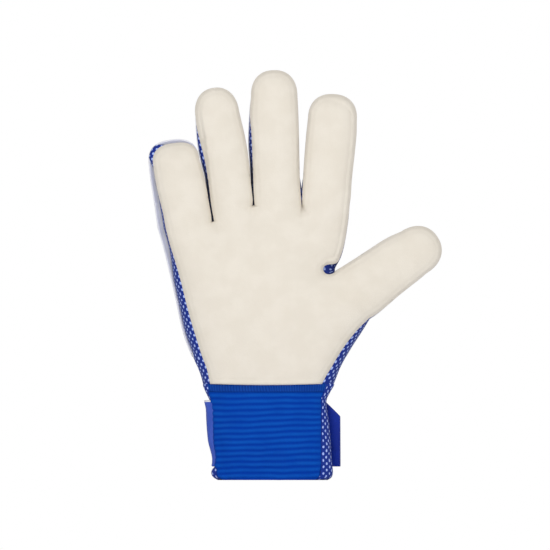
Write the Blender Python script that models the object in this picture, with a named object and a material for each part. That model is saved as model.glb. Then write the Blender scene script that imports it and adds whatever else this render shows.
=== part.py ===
"""Right-hand football goalkeeper glove with a foam palm, mesh gussets and a wrap-over wrist strap.

Frame: +Z towards the fingertips, the palm faces -Y, the thumb is on +X. The origin is the centre of the
wrist opening. All the design values below are millimetres; MM turns them into Blender's metres.

The glove is sewn from flat-cut panels. A front (palm) outline and a slightly larger back outline are drawn
in the XZ plane. Foam panels are domed over each outline, and mesh gussets join the two outlines.
Each digit is cut at its base and at its middle knuckle, where it bends.
"""

import math

import bmesh
import bpy
import numpy as np

MM = 0.001

# ---- driving dimensions, millimetres ----
WRIST_Z = 62.4  # top of the elastic cuff, where the palm panel starts
BACK_FOAM_Z = 79.8  # lower edge of the backhand foam
PALM_FOAM = 3.0
BACK_FOAM = 2.5
ELASTIC = 1.8
MESH = 1.2
GAP = 0.3  # between sewn neighbours
FINGER_CLEARANCE = 0.4  # on each side of a digit at its crotch

STRAP_BOTTOM, STRAP_TOP = 8.8, 51.5
STRAP = 2.4
TAB_X, TAB_Y = 46.0, 9.0  # the strap's free end
TAB_CHAMFER = 10.0  # how much of its upper corner is cut off
PATCH = 1.2

# Crotches and outer corners of the four finger bases, from the little finger to the index finger.
FINGER_LINE = [(-72.8, 166.0), (-37.3, 172.3), (-10.4, 178.6), (21.4, 179.1), (52.8, 179.4)]
THUMB_TOP, THUMB_LOW = (42.6, 136.2), (65.7, 104.3)
FRONT_THUMB_TOP, GUSSET_THUMB_TOP = (43.6, 134.8), (42.4, 137.6)

# Half thickness between the two outlines, and how far each foam panel domes beyond its outline.
SIDE_WRIST, SIDE_PALM, SIDE_DIGIT, SIDE_TIP = 8.0, 9.0, 7.4, 1.9
DOME_FRONT_WRIST, DOME_FRONT_PALM, DOME_FRONT_DIGIT = 8.5, 11.0, 7.0
DOME_BACK_WRIST, DOME_BACK_PALM, DOME_BACK_DIGIT = 7.5, 8.5, 6.0
ROUND_WRIST, ROUND_PALM, ROUND_DIGIT = 22.0, 28.0, 15.5

# Each digit: base point and tip in XZ, middle knuckle, length of the rounded tip, half widths
# (distance from the base, width) towards the little-finger side and the thumb side, and how far the
# palm foam stops short of the back outline on those two sides and at the tip.
DIGITS = {
    "little": dict(
        base=(-54.9, 167.4), tilt=-7.5, length=54.6, knuckle=23.0, tip=15.0,
        near=[(5, 17.9), (20, 18.0), (33, 18.2), (40, 17.9)],
        far=[(5, 17.1), (20, 16.0), (28, 15.2), (40, 14.6)],
        inset=(3.4, 0.0, 2.0),
    ),
    "ring": dict(
        base=(-23.4, 175.2), tilt=-8.7, length=81.2, knuckle=34.0, tip=16.0,
        near=[(5, 14.6), (25, 14.7), (33, 15.8), (41, 16.5), (57, 16.0), (66, 15.1)],
        far=[(5, 13.2), (17, 13.4), (32, 14.7), (48, 14.8), (66, 13.7)],
        inset=(2.4, 0.0, 0.0),
    ),
    "middle": dict(
        base=(5.7, 179.4), tilt=-1.8, length=87.1, knuckle=37.0, tip=16.0,
        near=[(5, 16.2), (15, 17.0), (38, 18.0), (54, 17.2), (71, 15.9)],
        far=[(5, 15.0), (30, 14.8), (53, 15.0), (71, 15.2)],
        inset=(2.2, 0.0, 0.0),
    ),
    "index": dict(
        base=(37.1, 178.8), tilt=3.1, length=72.3, knuckle=31.0, tip=16.0,
        near=[(5, 15.5), (14, 15.7), (53, 15.8)],
        far=[(5, 15.6), (23, 15.9), (39, 16.8), (47, 17.3), (56, 17.1)],
        inset=(0.0, 2.8, 2.8),
    ),
    "thumb": dict(
        base=(54.3, 121.2), tilt=57.6, length=66.4, knuckle=31.0, tip=18.0,
        near=[(5, 18.5), (25, 18.5), (39, 18.7), (48, 18.0)],
        far=[(6, 19.3), (17, 17.6), (30, 15.9), (48, 14.3)],
        inset=(0.0, 0.0, 0.0),
    ),
}
FINGERS = ("little", "ring", "middle", "index")
# How far each finger's two hinge lines lean up towards the thumb, in degrees: at the base and at the middle
# knuckle. The thumb's hinges run straight across it.
HINGE_LEAN = {"little": (8.0, 3.0), "ring": (4.5, 7.0), "middle": (0.0, 0.0), "index": (0.0, 0.0)}

# Side edges of the hand, as (x, z) from the wrist up.
LITTLE_EDGE = {
    "back": [(-42.7, 62.4), (-46.5, 72.8), (-51.3, 82.0), (-58.6, 107.9), (-64.8, 131.3), (-70.0, 154.7)],
    "front": [(-37.7, 62.4), (-40.6, 72.8), (-48.1, 96.2), (-55.2, 119.6), (-59.8, 139.1), (-65.7, 158.6)],
}
THUMB_EDGE = {
    "back": [(41.5, 62.4), (46.8, 72.8), (54.6, 88.4), (59.8, 96.2)],
    "front": [(34.5, 62.4), (40.3, 72.8), (50.1, 88.4), (56.6, 97.0)],
}
INDEX_EDGE = {
    "back": [(45.2, 141.7), (47.5, 146.9), (49.4, 154.7), (50.7, 162.5), (51.7, 171.6)],
    # The palm foam has a small round notch at the root of the thumb.
    "front": [
        (36.6, 134.6), (35.2, 137.2), (36.8, 140.0), (40.4, 142.4),
        (43.7, 147.5), (46.0, 154.7), (48.4, 171.0),
    ],
}

# Half widths of the cuff's oval at each height, towards the little finger and the thumb.
CUFF_LEVELS = [0.0, 4.0, 8.4, 9.2, 30.0, 52.0, 57.0, 62.1]
CUFF_NEAR = [36.5, 39.6, 34.0, 32.6, 35.6, 38.9, 40.6, 42.4]
CUFF_FAR = [39.3, 40.8, 40.9, 40.7, 38.6, 37.6, 38.8, 41.2]
CUFF_FRONT, CUFF_BACK, CUFF_POWER = 16.5, 15.0, 2.5
# Seams round the cuff in degrees: 0 is the thumb side, 90 the back, 180 the little-finger side, 270 the palm.
SEAM_LITTLE, SEAM_THUMB, SEAM_BACK_THUMB, SEAM_BACK_LITTLE = 206.0, 327.0, 396.0, 510.0
SEAM_GAP = 0.6  # in degrees, between neighbours
# Where round the cuff the strap is sewn down, and where its grip end leaves the cuff.
STRAP_HINGE, STRAP_LEAVES = 148.0, 42.0
STRAP_SKIN = 2 * (GAP + PATCH) + GAP + STRAP  # from the cuff to the strap's outer face

MATERIALS = {  # base colour, roughness
    "latex_foam": ((0.82, 0.77, 0.69), 0.75),
    "back_foam": ((0.86, 0.86, 0.90), 0.6),
    "gusset_mesh": ((0.02, 0.06, 0.33), 0.8),
    "rib_elastic": ((0.006, 0.085, 0.44), 0.7),
    "strap_webbing": ((0.01, 0.03, 0.25), 0.5),
    "hook_loop": ((0.01, 0.02, 0.12), 0.9),
}


# ---- scene ----
def clear_scene():
    for existing in list(bpy.data.objects):
        bpy.data.objects.remove(existing)


def make_material(name):
    colour, roughness = MATERIALS[name]
    material = bpy.data.materials.new(name)
    material.use_nodes = True
    shader = material.node_tree.nodes["Principled BSDF"]
    shader.inputs["Base Color"].default_value = (*colour, 1.0)
    shader.inputs["Roughness"].default_value = roughness
    shader.inputs["Metallic"].default_value = 0.0
    return material


def add_object(name, mesh, material):
    mesh.materials.append(bpy.data.materials[material])
    made = bpy.data.objects.new(name, mesh)
    bpy.data.collections["goalkeeper_glove"].objects.link(made)
    mesh.shade_smooth()
    mesh.set_sharp_from_angle(angle=math.radians(40))
    return made


# ---- plane geometry in XZ ----
def smoothstep(t):
    t = min(max(t, 0.0), 1.0)
    return t * t * (3 - 2 * t)


def mix(a, b, t):
    return a + (b - a) * t


class Digit:
    """One finger or the thumb in its own frame: distance along it from its base, and distance across it."""

    def __init__(self, spec):
        tilt = math.radians(spec["tilt"])
        self.base = np.array(spec["base"])
        self.along = np.array([math.sin(tilt), math.cos(tilt)])
        self.across = np.array([math.cos(tilt), -math.sin(tilt)])
        self.length, self.knuckle, self.tip = spec["length"], spec["knuckle"], spec["tip"]
        self.near, self.far = np.array(spec["near"]), np.array(spec["far"])
        self.inset = spec["inset"]

    def point(self, s, lateral):
        return self.base + s * self.along + lateral * self.across

    def local(self, p):
        offset = np.asarray(p) - self.base
        return offset @ self.along, offset @ self.across

    def widths(self, s, panel):
        """Distance across the digit to its two edges. A front panel is inset, and the inset fades out
        towards the tip where the foam wraps right over it."""
        near = np.interp(s, self.near[:, 0], self.near[:, 1])
        far = np.interp(s, self.far[:, 0], self.far[:, 1])
        if panel == "back":
            return near, far
        fade = 1.0 if self.inset[2] else 1.0 - smoothstep((s - 0.6 * self.length) / (0.2 * self.length))
        return near - self.inset[0] * fade, far - self.inset[1] * fade

    def tip_point(self, angle, radius, panel):
        """A point of the rounded tip. Angle 180 degrees is the near side, 0 the far side, 90 the very tip."""
        start = self.length - self.tip
        near, far = self.widths(start, panel)
        centre, half = (far - near) / 2, (far + near) / 2
        reach = self.tip - (self.inset[2] if panel == "front" else 0.0)
        squareness = 2 / 2.4
        cosine, sine = math.cos(angle), math.sin(angle)
        lateral = centre + radius * half * math.copysign(abs(cosine) ** squareness, cosine)
        return self.point(start + radius * reach * abs(sine) ** squareness, lateral)


def base_ends(name):
    """The two corners of a digit's base line."""
    if name == "thumb":
        return np.array(THUMB_TOP), np.array(THUMB_LOW)
    k = FINGERS.index(name)
    return np.array(FINGER_LINE[k]), np.array(FINGER_LINE[k + 1])


def edge_rows(digit, name, stations, panel):
    """(left, right) end points of a digit's rows. The first row lies on the base line."""
    rows = []
    for s in stations:
        near, far = digit.widths(s, panel)
        left, right = digit.point(s, -near), digit.point(s, far)
        if s == 0.0:
            low, high = base_ends(name)
            side = (high - low) / np.linalg.norm(high - low)
            left = low + side * (FINGER_CLEARANCE + (digit.inset[0] if panel == "front" else 0.0))
            right = high - side * (FINGER_CLEARANCE + (digit.inset[1] if panel == "front" else 0.0))
        rows.append((left, right))
    return rows


def digit_outline(digit, name, panel):
    """A digit's outline from its near base corner round the tip to its far base corner."""
    stations = [0.0, *np.linspace(6.0, digit.length - digit.tip, 7)]
    sides = edge_rows(digit, name, stations, panel)
    tip = [digit.tip_point(math.pi * (1 - k / 10), 1.0, panel) for k in range(1, 10)]
    return [left for left, _ in sides] + tip + [right for _, right in reversed(sides)]


def glove_outline(panel):
    """The whole outline. At the wrist it runs on straight down, so that the wrist isn't an edge."""
    run_on = (0, -60)
    points = [np.array(LITTLE_EDGE[panel][0]) + run_on] + [np.array(p) for p in LITTLE_EDGE[panel]]
    for name in FINGERS:
        points += digit_outline(DIGIT[name], name, panel)
    points += [np.array(p) for p in reversed(INDEX_EDGE[panel])]
    points += digit_outline(DIGIT["thumb"], "thumb", panel)
    points += [np.array(p) for p in reversed(THUMB_EDGE[panel])]
    return np.array(points + [points[-1] + run_on])


def distance_to_outline(p, outline):
    start, run = outline[:-1], np.diff(outline, axis=0)
    t = np.clip(((p - start) * run).sum(1) / np.maximum((run * run).sum(1), 1e-9), 0, 1)
    return float(np.sqrt((((start + t[:, None] * run) - p) ** 2).sum(1).min()))


# ---- thickness of the glove over the XZ plane ----
def digit_share(p):
    """0 in the palm, rising to 1 inside a digit, and how far towards a digit's tip the point is."""
    share, towards_tip = 0.0, 0.0
    for name, digit in DIGIT.items():
        s, lateral = digit.local(p)
        inside = 1 - smoothstep((abs(lateral) - 22) / 15)
        reach = (s + 10) / 45 if name == "thumb" else (s + 18) / 36
        share = max(share, smoothstep(reach) * inside)
        if abs(lateral) < 20:
            towards_tip = max(towards_tip, smoothstep(s / digit.length))
    return share, towards_tip


def half_side(p):
    """Half the height of the gusset wall at a point of the outline, or inside it."""
    share, towards_tip = digit_share(p)
    belly = math.sin(math.pi * min(max((p[1] - WRIST_Z) / 117, 0), 1))
    return mix(mix(SIDE_WRIST, SIDE_PALM, belly), mix(SIDE_DIGIT, SIDE_TIP, towards_tip), share)


def depth(p, panel):
    """Distance of a panel's outer surface from the XZ plane."""
    share, _ = digit_share(p)
    belly = math.sin(math.pi * min(max((p[1] - WRIST_Z) / 117, 0), 1))
    wrist, palm, finger = (
        (DOME_FRONT_WRIST, DOME_FRONT_PALM, DOME_FRONT_DIGIT)
        if panel == "front"
        else (DOME_BACK_WRIST, DOME_BACK_PALM, DOME_BACK_DIGIT)
    )
    dome = mix(mix(wrist, palm, belly), finger, share)
    radius = mix(mix(ROUND_WRIST, ROUND_PALM, belly), ROUND_DIGIT, share)
    reach = min(distance_to_outline(p, OUTLINE[panel]) / radius, 1.0)
    return half_side(p) + dome * math.sqrt(max(1 - (1 - reach) ** 2, 0.0))


def into_glove(p, centre, panel, cut):
    """Unit vector from a panel's outer surface towards the inside. On a cut it stays in the cut's plane."""
    towards = np.asarray(centre) - p
    length = np.linalg.norm(towards)
    near = p + towards / length * min(0.25, length) if length > 1e-6 else p
    step = 0.05
    steps = np.array([step, 0]), np.array([0, step])
    slope = [(depth(near + d, panel) - depth(near - d, panel)) / (2 * step) for d in steps]
    inward = np.array([slope[0], 1.0 if panel == "front" else -1.0, slope[1]])
    if distance_to_outline(p, OUTLINE[panel]) < 1.0:  # a sewn edge stays level, clear of the gusset under it
        inward = np.array([towards[0], 0.0, towards[1]])
    if cut is not None:
        normal = np.array([cut[0], 0.0, cut[1]])
        inward -= (inward @ normal) * normal
    return inward / np.linalg.norm(inward)


# ---- solids ----
def shell(name, outer, inner, faces, material):
    """A closed solid between two surfaces that share one layout of faces."""
    bm = bmesh.new()
    out = [bm.verts.new(np.asarray(p) * MM) for p in outer]
    back = [bm.verts.new(np.asarray(p) * MM) for p in inner]
    used = {}
    for face in faces:
        bm.faces.new([out[k] for k in face])
        bm.faces.new([back[k] for k in reversed(face)])
        for a, b in zip(face, face[1:] + face[:1]):
            used[(a, b)] = True
    for a, b in used:
        if (b, a) not in used:
            bm.faces.new([out[b], out[a], back[a], back[b]])
    bmesh.ops.recalc_face_normals(bm, faces=bm.faces)
    mesh = bpy.data.meshes.new(name)
    bm.to_mesh(mesh)
    bm.free()
    return add_object(name, mesh, material)


def grid_faces(rows, columns):
    starts = [r * columns + c for r in range(rows - 1) for c in range(columns - 1)]
    return [[k, k + 1, k + columns + 1, k + columns] for k in starts]


def panel_shell(name, points, centres, cuts, faces, panel, thickness, material):
    """A domed foam or mesh panel over XZ points. Its thickness goes into the glove."""
    sign = -1 if panel == "front" else 1
    outer, inner = [], []
    for p, centre, cut in zip(points, centres, cuts):
        surface = np.array([p[0], sign * depth(p, panel), p[1]])
        outer.append(surface)
        inner.append(surface + thickness * into_glove(p, centre, panel, cut))
    return shell(name, outer, inner, faces, material)


def spread(count, power=0.75):
    """Positions across a row from -1 to 1, closer together at the edges where the panel curves most."""
    even = np.linspace(-1, 1, count)
    return np.sign(even) * np.abs(even) ** power


def segment_panel(name, digit_name, panel, part, thickness, material):
    """The foam over one segment of a digit: 'base' up to the middle knuckle, or 'tip' beyond it."""
    digit, columns = DIGIT[digit_name], 7
    start = digit.length - digit.tip
    low, high = base_ends(digit_name)
    base_normal = np.array([-(high - low)[1], (high - low)[0]]) / np.linalg.norm(high - low)
    if part == "base":
        rows = edge_rows(digit, digit_name, [0.0, 6.0, *np.linspace(6.0, digit.knuckle, 4)[1:]], panel)
        shifts = {0: base_normal * GAP / 2, len(rows) - 1: -digit.along * GAP / 2}
        normals = {0: base_normal, len(rows) - 1: digit.along}
    else:
        rows = edge_rows(digit, digit_name, list(np.linspace(digit.knuckle, start, 4)), panel)
        shifts, normals = {0: digit.along * GAP / 2}, {0: digit.along}
    points, centres, cuts = [], [], []
    for k, (left, right) in enumerate(rows):
        middle, half = (left + right) / 2, (right - left) / 2
        for u in spread(columns):
            points.append(middle + half * u + shifts.get(k, 0))
            centres.append(middle + shifts.get(k, 0))
            cuts.append(normals.get(k))
    faces = grid_faces(len(rows), columns)
    if part == "tip":
        faces += tip_dome(digit, panel, columns, len(rows), points, centres, cuts)
    return panel_shell(name, points, centres, cuts, faces, panel, thickness, material)


def tip_dome(digit, panel, columns, row_count, points, centres, cuts):
    """Adds the rounded end: rays from the centre of the last row out to the tip's outline."""
    rays, half = 8, columns // 2
    last = (row_count - 1) * columns
    centre = last + half
    radii = spread(columns)[half + 1 :]
    previous = [last + half - 1 - k for k in range(half)]
    faces = []
    for ray in range(1, rays + 1):
        if ray < rays:
            angle = math.pi * (1 - ray / rays)
            current = list(range(len(points), len(points) + half))
            for radius in radii:
                points.append(digit.tip_point(angle, radius, panel))
                centres.append(points[centre])
                cuts.append(None)
        else:
            current = [last + half + 1 + k for k in range(half)]
        faces.append([centre, current[0], previous[0]])
        faces += [[previous[k], current[k], current[k + 1], previous[k + 1]] for k in range(half - 1)]
        previous = current
    return faces


def wall(name, front, back, centres, cuts, material):
    """A gusset: a mesh wall from points of the front outline to points of the back outline."""
    outer, inner = [], []
    for f, b, centre, cut in zip(front, back, centres, cuts):
        deep_front, deep_back = half_side(f) - 2 * GAP, half_side(b) - 2 * GAP
        for share in (0.0, 0.5, 1.0):
            p = mix(f, b, share)
            y = mix(-deep_front, deep_back, share)
            inward = np.asarray(centre) - p
            if cut is not None:
                inward = inward - (inward @ cut) * cut
            inward = inward / np.linalg.norm(inward) * MESH
            outer.append((p[0], y, p[1]))
            inner.append((p[0] + inward[0], y, p[1] + inward[1]))
    return shell(name, outer, inner, grid_faces(len(front), 3), material)


def segment_walls(digit_name):
    """Gussets of one digit: one on each side of its base segment, and one round its tip segment."""
    digit = DIGIT[digit_name]
    low, high = base_ends(digit_name)
    base_normal = np.array([-(high - low)[1], (high - low)[0]]) / np.linalg.norm(high - low)
    stations = [0.0, 6.0, *np.linspace(6.0, digit.knuckle, 3)[1:]]
    front, back = (edge_rows(digit, digit_name, stations, panel) for panel in ("front", "back"))
    last = len(stations) - 1
    for side, label in ((0, "little_side"), (1, "thumb_side")):
        shift = {0: base_normal * GAP / 2, last: -digit.along * GAP / 2}
        f = [row[side] + shift.get(k, 0) for k, row in enumerate(front)]
        b = [row[side] + shift.get(k, 0) for k, row in enumerate(back)]
        centres = [(row[0] + row[1]) / 2 + shift.get(k, 0) for k, row in enumerate(back)]
        cuts = [{0: base_normal, last: digit.along}.get(k) for k in range(len(stations))]
        wall(f"{digit_name}_base_gusset_{label}", f, b, centres, cuts, "gusset_mesh")

    start = digit.length - digit.tip
    stations = list(np.linspace(digit.knuckle, start, 3))
    paths = []
    for panel in ("front", "back"):
        rows = edge_rows(digit, digit_name, stations, panel)
        rows[0] = tuple(p + digit.along * GAP / 2 for p in rows[0])
        tip = [digit.tip_point(math.pi * (1 - k / 8), 1.0, panel) for k in range(1, 8)]
        paths.append([left for left, _ in rows] + tip + [right for _, right in reversed(rows)])
    middle = (digit.widths(start, "back")[1] - digit.widths(start, "back")[0]) / 2
    centres = [digit.point(min(max(digit.local(p)[0], digit.knuckle), start), middle) for p in paths[1]]
    cuts = [digit.along if k in (0, len(paths[0]) - 1) else None for k in range(len(paths[0]))]
    wall(f"{digit_name}_tip_gusset", paths[0], paths[1], centres, cuts, "gusset_mesh")


# ---- the hand between the wrist and the digits ----
def thumb_side_edge(panel, low_z):
    """The hand's thumb-side edge as a dense line from the wrist to the index finger's base."""
    points = [p for p in THUMB_EDGE[panel]] + [THUMB_LOW, THUMB_TOP] + INDEX_EDGE[panel]
    end = np.array(FINGER_LINE[4])
    if panel == "front":
        end = end - (DIGIT["index"].inset[1], 0)
        points[len(THUMB_EDGE[panel]) + 1] = FRONT_THUMB_TOP
    return resample([np.array(p) for p in points] + [end], low_z)


def little_side_edge(panel, low_z):
    end = np.array(FINGER_LINE[0])
    if panel == "front":
        end = end + (DIGIT["little"].inset[0], 0.6)
    return resample([np.array(p) for p in LITTLE_EDGE[panel]] + [end], low_z)


def resample(points, low_z):
    """The line above low_z, as a function of 0 to 1."""
    points = np.array(points)
    keep = points[:, 1] > low_z + 0.5
    first = np.array([np.interp(low_z, points[:, 1], points[:, 0]), low_z])
    return np.vstack([first, points[keep]])


def along_line(line, share):
    steps = np.linalg.norm(np.diff(line, axis=0), axis=1)
    reach = np.concatenate([[0], np.cumsum(steps)]) / steps.sum()
    return np.array([np.interp(share, reach, line[:, 0]), np.interp(share, reach, line[:, 1])])


def hand_rows(panel, low_z, row_count, per_finger):
    """Rows of points of the hand panel, from the wrist up to the finger line: a Coons patch of its edges."""
    left_line, right_line = little_side_edge(panel, low_z), thumb_side_edge(panel, low_z)
    top = []
    for k in range(4):
        a, b = np.array(FINGER_LINE[k]), np.array(FINGER_LINE[k + 1])
        top += [mix(a, b, c / per_finger) for c in range(per_finger)]
    top = np.array(top + [np.array(FINGER_LINE[4])])
    top[0], top[-1] = left_line[-1], right_line[-1]
    columns = len(top)
    u = (spread(columns, 0.85) + 1) / 2
    rows = []
    for r in range(row_count):
        v = r / (row_count - 1)
        left, right = along_line(left_line, v), along_line(right_line, v)
        row = []
        for c in range(columns):
            bottom = mix(left_line[0], right_line[0], u[c])
            corner = mix(mix(left_line[0], right_line[0], u[c]), mix(left_line[-1], right_line[-1], u[c]), v)
            row.append(mix(bottom, top[c], v) + mix(left, right, u[c]) - corner)
        rows.append(row)
    return rows


def thumb_normal():
    run = np.array(THUMB_LOW) - np.array(THUMB_TOP)
    return np.array([-run[1], run[0]]) / np.linalg.norm(run)


def hand_panel(name, panel, low_z, thickness, material):
    row_count, per_finger = 16, 4
    rows = hand_rows(panel, low_z, row_count, per_finger)
    columns = len(rows[0])
    normal, top = thumb_normal(), np.array(THUMB_TOP)
    points, centres, cuts = [], [], []
    for r, row in enumerate(rows):
        for c, p in enumerate(row):
            cut = None
            if r == row_count - 1:  # the finger line: stay just under it
                k = min(c // per_finger, 3)
                run = np.array(FINGER_LINE[k + 1]) - np.array(FINGER_LINE[k])
                cut = np.array([-run[1], run[0]]) / np.linalg.norm(run)
                p = p - cut * GAP / 2
            elif r == 0:
                cut = np.array([0.0, 1.0])
                p = p + cut * GAP / 2
            beyond = (p - top) @ normal + GAP / 2
            in_thumb = THUMB_LOW[1] - 1 < p[1] < top[1] - 1 and c == columns - 1
            if in_thumb or (beyond > 0 and THUMB_LOW[1] < p[1] < top[1]):
                cut = normal
                p = p - beyond * normal
            points.append(p)
            centres.append(mix(row[0], row[-1], 0.5))
            cuts.append(cut)
    faces = grid_faces(row_count, columns)
    return panel_shell(name, points, centres, cuts, faces, panel, thickness, material)


def hand_walls():
    """The mesh along the little-finger side, the thumb side and the root of the thumb."""
    front, back = little_side_edge("front", WRIST_Z), little_side_edge("back", WRIST_Z)
    shares = np.linspace(0.003, 0.997, 9)
    f = [along_line(front, t) for t in shares]
    b = [along_line(back, t) for t in shares]
    inside = [p + (30.0, 0.0) for p in b]
    wall("little_side_gusset", f, b, inside, [None] * len(f), "gusset_mesh")

    low = [np.array(p) for p in THUMB_EDGE["front"]] + [np.array(THUMB_LOW)]
    high = [np.array(p) for p in THUMB_EDGE["back"]] + [np.array(THUMB_LOW)]
    shares = np.linspace(0.004, 0.99, 5)
    f = [along_line(np.array(low), t) for t in shares]
    b = [along_line(np.array(high), t) for t in shares]
    wall("thumb_side_gusset", f, b, [p + (-20.0, 8.0) for p in b], [None] * 5, "gusset_mesh")

    corner = np.array(FINGER_LINE[4]) - (0, GAP)
    low = np.array(INDEX_EDGE["front"] + [corner - (DIGIT["index"].inset[1], 0)])
    high = np.array([GUSSET_THUMB_TOP] + INDEX_EDGE["back"] + [corner])
    shares = np.linspace(0, 0.995, 9)
    f = [along_line(low, t) for t in shares]
    b = [along_line(high, t) for t in shares]
    wall("thumb_crotch_gusset", f, b, [p + (-20.0, 0.0) for p in b], [None] * 9, "gusset_mesh")


# ---- the cuff and its strap ----
def oval(angle, z, outward):
    """A point of the cuff's oval at a height, moved outward."""
    a = math.radians(angle)
    near, far = np.interp(z, CUFF_LEVELS, CUFF_NEAR), np.interp(z, CUFF_LEVELS, CUFF_FAR)
    half_x = (far if math.cos(a) > 0 else near) + outward
    half_y = (CUFF_BACK if math.sin(a) > 0 else CUFF_FRONT) + outward
    power = 2 / CUFF_POWER
    x = half_x * math.copysign(abs(math.cos(a)) ** power, math.cos(a))
    y = half_y * math.copysign(abs(math.sin(a)) ** power, math.sin(a))
    return np.array([x, y, z])


def cuff_piece(name, start, end, low, high, outward, thickness, material, columns):
    """A piece of the cuff wall between two seams, its outer face moved outward by a distance."""
    angles = np.linspace(start, end, columns)
    heights = [low, *[z for z in CUFF_LEVELS if low + 0.6 < z < high - 0.6], high]
    outer = [oval(a, z, outward) for z in heights for a in angles]
    inner = [oval(a, z, outward - thickness) for z in heights for a in angles]
    return shell(name, outer, inner, grid_faces(len(heights), columns), material)


def strap_path(z, outward):
    """The closed strap's line across the back, from its hinge past the thumb side to the free end."""
    points = [oval(a, z, outward) for a in np.linspace(STRAP_HINGE, STRAP_LEAVES, 9)]
    leave, free = points[-1], np.array([TAB_X, TAB_Y + outward, z])
    points += [mix(leave, free, t) for t in (0.34, 0.67, 1.0)]
    return points


def strap_piece(name, first, last, bottom, top, outward, thickness, material, chamfer=0.0):
    """A length of the strap between two points of its path. The free end's upper corner is cut off."""
    heights = (0.0, 0.33, 0.67, 1.0)
    outer, inner = [], []
    for share in heights:
        for k in range(first, last + 1):
            free = (k - (last - 2)) / 2 if chamfer and k > last - 2 else 0.0
            z = mix(bottom, top - chamfer * free, share)
            outer.append(strap_path(z, outward)[k])
            inner.append(strap_path(z, outward - thickness)[k])
    return shell(name, outer, inner, grid_faces(len(heights), last - first + 1), material)


def cuff_and_strap():
    walls = [  # name, its two seams, thickness, material, points across it
        ("wrist_elastic", SEAM_LITTLE, SEAM_THUMB, ELASTIC, "rib_elastic", 11),
        ("cuff_mesh_thumb_side", SEAM_THUMB, SEAM_BACK_THUMB, MESH, "gusset_mesh", 7),
        ("cuff_back_panel", SEAM_BACK_THUMB, SEAM_BACK_LITTLE, ELASTIC, "gusset_mesh", 11),
        ("cuff_mesh_little_side", SEAM_BACK_LITTLE - 360, SEAM_LITTLE, MESH, "gusset_mesh", 6),
    ]
    for name, start, end, thickness, material, columns in walls:
        cuff_piece(name, start, end - SEAM_GAP, 0.0, WRIST_Z - GAP, 0.0, thickness, material, columns)
    stack = GAP + PATCH
    cuff_piece("loop_patch", 50.0, 118.0, 12.0, 49.0, stack, PATCH, "hook_loop", 8)
    strap_piece("hook_patch", 4, 8, 13.0, 48.0, 2 * stack, PATCH, "hook_loop")
    strap_piece("strap_band", 0, 8, STRAP_BOTTOM, STRAP_TOP, STRAP_SKIN, STRAP, "strap_webbing")
    strap_tab(STRAP_SKIN)
    strap_anchor(STRAP_SKIN)


def strap_tab(outer):
    """The strap's grip end, which stands free of the cuff on the thumb side."""
    strap_piece("strap_end_tab", 8, 11, STRAP_BOTTOM, STRAP_TOP, outer, STRAP, "strap_webbing", TAB_CHAMFER)
    tab = bpy.data.objects["strap_end_tab"]
    leave = strap_path(30.0, outer)[8]
    for vertex in tab.data.vertices:
        if vertex.co.x < (leave[0] + 0.5) * MM:
            vertex.co.x += 0.6 * MM


def strap_anchor(outer):
    """The sewn end of the strap, round the little-finger side from the palm seam to the hinge."""
    angles = np.linspace(STRAP_HINGE + 1.5, SEAM_LITTLE - 2.0, 8)
    heights = np.linspace(STRAP_BOTTOM + 0.6, STRAP_TOP, 4)
    reach = [mix(outer, GAP + STRAP, smoothstep(k / 4)) for k in range(8)]
    skin = [oval(a, z, reach[k]) for z in heights for k, a in enumerate(angles)]
    core = [oval(a, z, reach[k] - STRAP) for z in heights for k, a in enumerate(angles)]
    shell("strap_anchor", skin, core, grid_faces(len(heights), 8), "strap_webbing")


def hinge(name, part):
    """A digit's hinge line: a point just outside the palm foam, and its direction in XZ."""
    digit = DIGIT[name]
    if part == "base":
        a, b = base_ends(name)
    else:
        near, far = digit.widths(digit.knuckle, "back")
        a, b = digit.point(digit.knuckle, -near), digit.point(digit.knuckle, far)
    line = digit.across
    if name in HINGE_LEAN:
        lean = math.radians(HINGE_LEAN[name][0 if part == "base" else 1])
        line = np.array([math.cos(lean), math.sin(lean)])
    up = np.array([-line[1], line[0]])
    middle = (a + b) / 2
    point = middle + up * max((a - middle) @ up, (b - middle) @ up)
    palm = max(depth(mix(a, b, t), "front") for t in np.linspace(0.05, 0.95, 19))
    return np.array([point[0], -palm - 0.35, point[1]]), line


def strap_hinges():
    """The strap's two upright hinge lines, where it is sewn down and where its grip end peels."""
    sewn, grip = strap_path(30.0, STRAP_SKIN)[0], strap_path(30.0, STRAP_SKIN)[8]
    return sewn + (-0.7, 0.7, 0.0), grip + (0.3, 0.7, 0.0)


def set_origin(name, point):
    """Puts an object's origin on its hinge line without moving its mesh."""
    moved = bpy.data.objects[name]
    origin = np.asarray(point) * MM
    for vertex in moved.data.vertices:
        vertex.co = [vertex.co[k] - origin[k] for k in range(3)]
    moved.location = origin


def place_origins():
    for name in DIGIT:
        for part in ("base", "tip"):
            point, _ = hinge(name, part)
            for moved in [o.name for o in bpy.data.objects if o.name.startswith(f"{name}_{part}_")]:
                set_origin(moved, point)
    sewn, grip = strap_hinges()
    set_origin("strap_band", sewn)
    set_origin("hook_patch", sewn)
    set_origin("strap_end_tab", grip)


def hand_back_mesh():
    """The mesh of the back between the cuff and the backhand foam."""
    left_line, right_line = np.array(LITTLE_EDGE["back"]), np.array(THUMB_EDGE["back"])
    heights, columns = np.linspace(WRIST_Z + GAP / 2, BACK_FOAM_Z - GAP, 4), 13
    points, centres, cuts = [], [], []
    for k, z in enumerate(heights):
        left = np.array([np.interp(z, left_line[:, 1], left_line[:, 0]) + 0.6, z])
        right = np.array([np.interp(z, right_line[:, 1], right_line[:, 0]) - 0.6, z])
        for u in (spread(columns, 0.8) + 1) / 2:
            points.append(mix(left, right, u))
            centres.append(mix(left, right, 0.5))
            cuts.append(np.array([0.0, 1.0]))
    panel_shell("hand_back_mesh", points, centres, cuts, grid_faces(4, columns), "back", MESH, "gusset_mesh")


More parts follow.
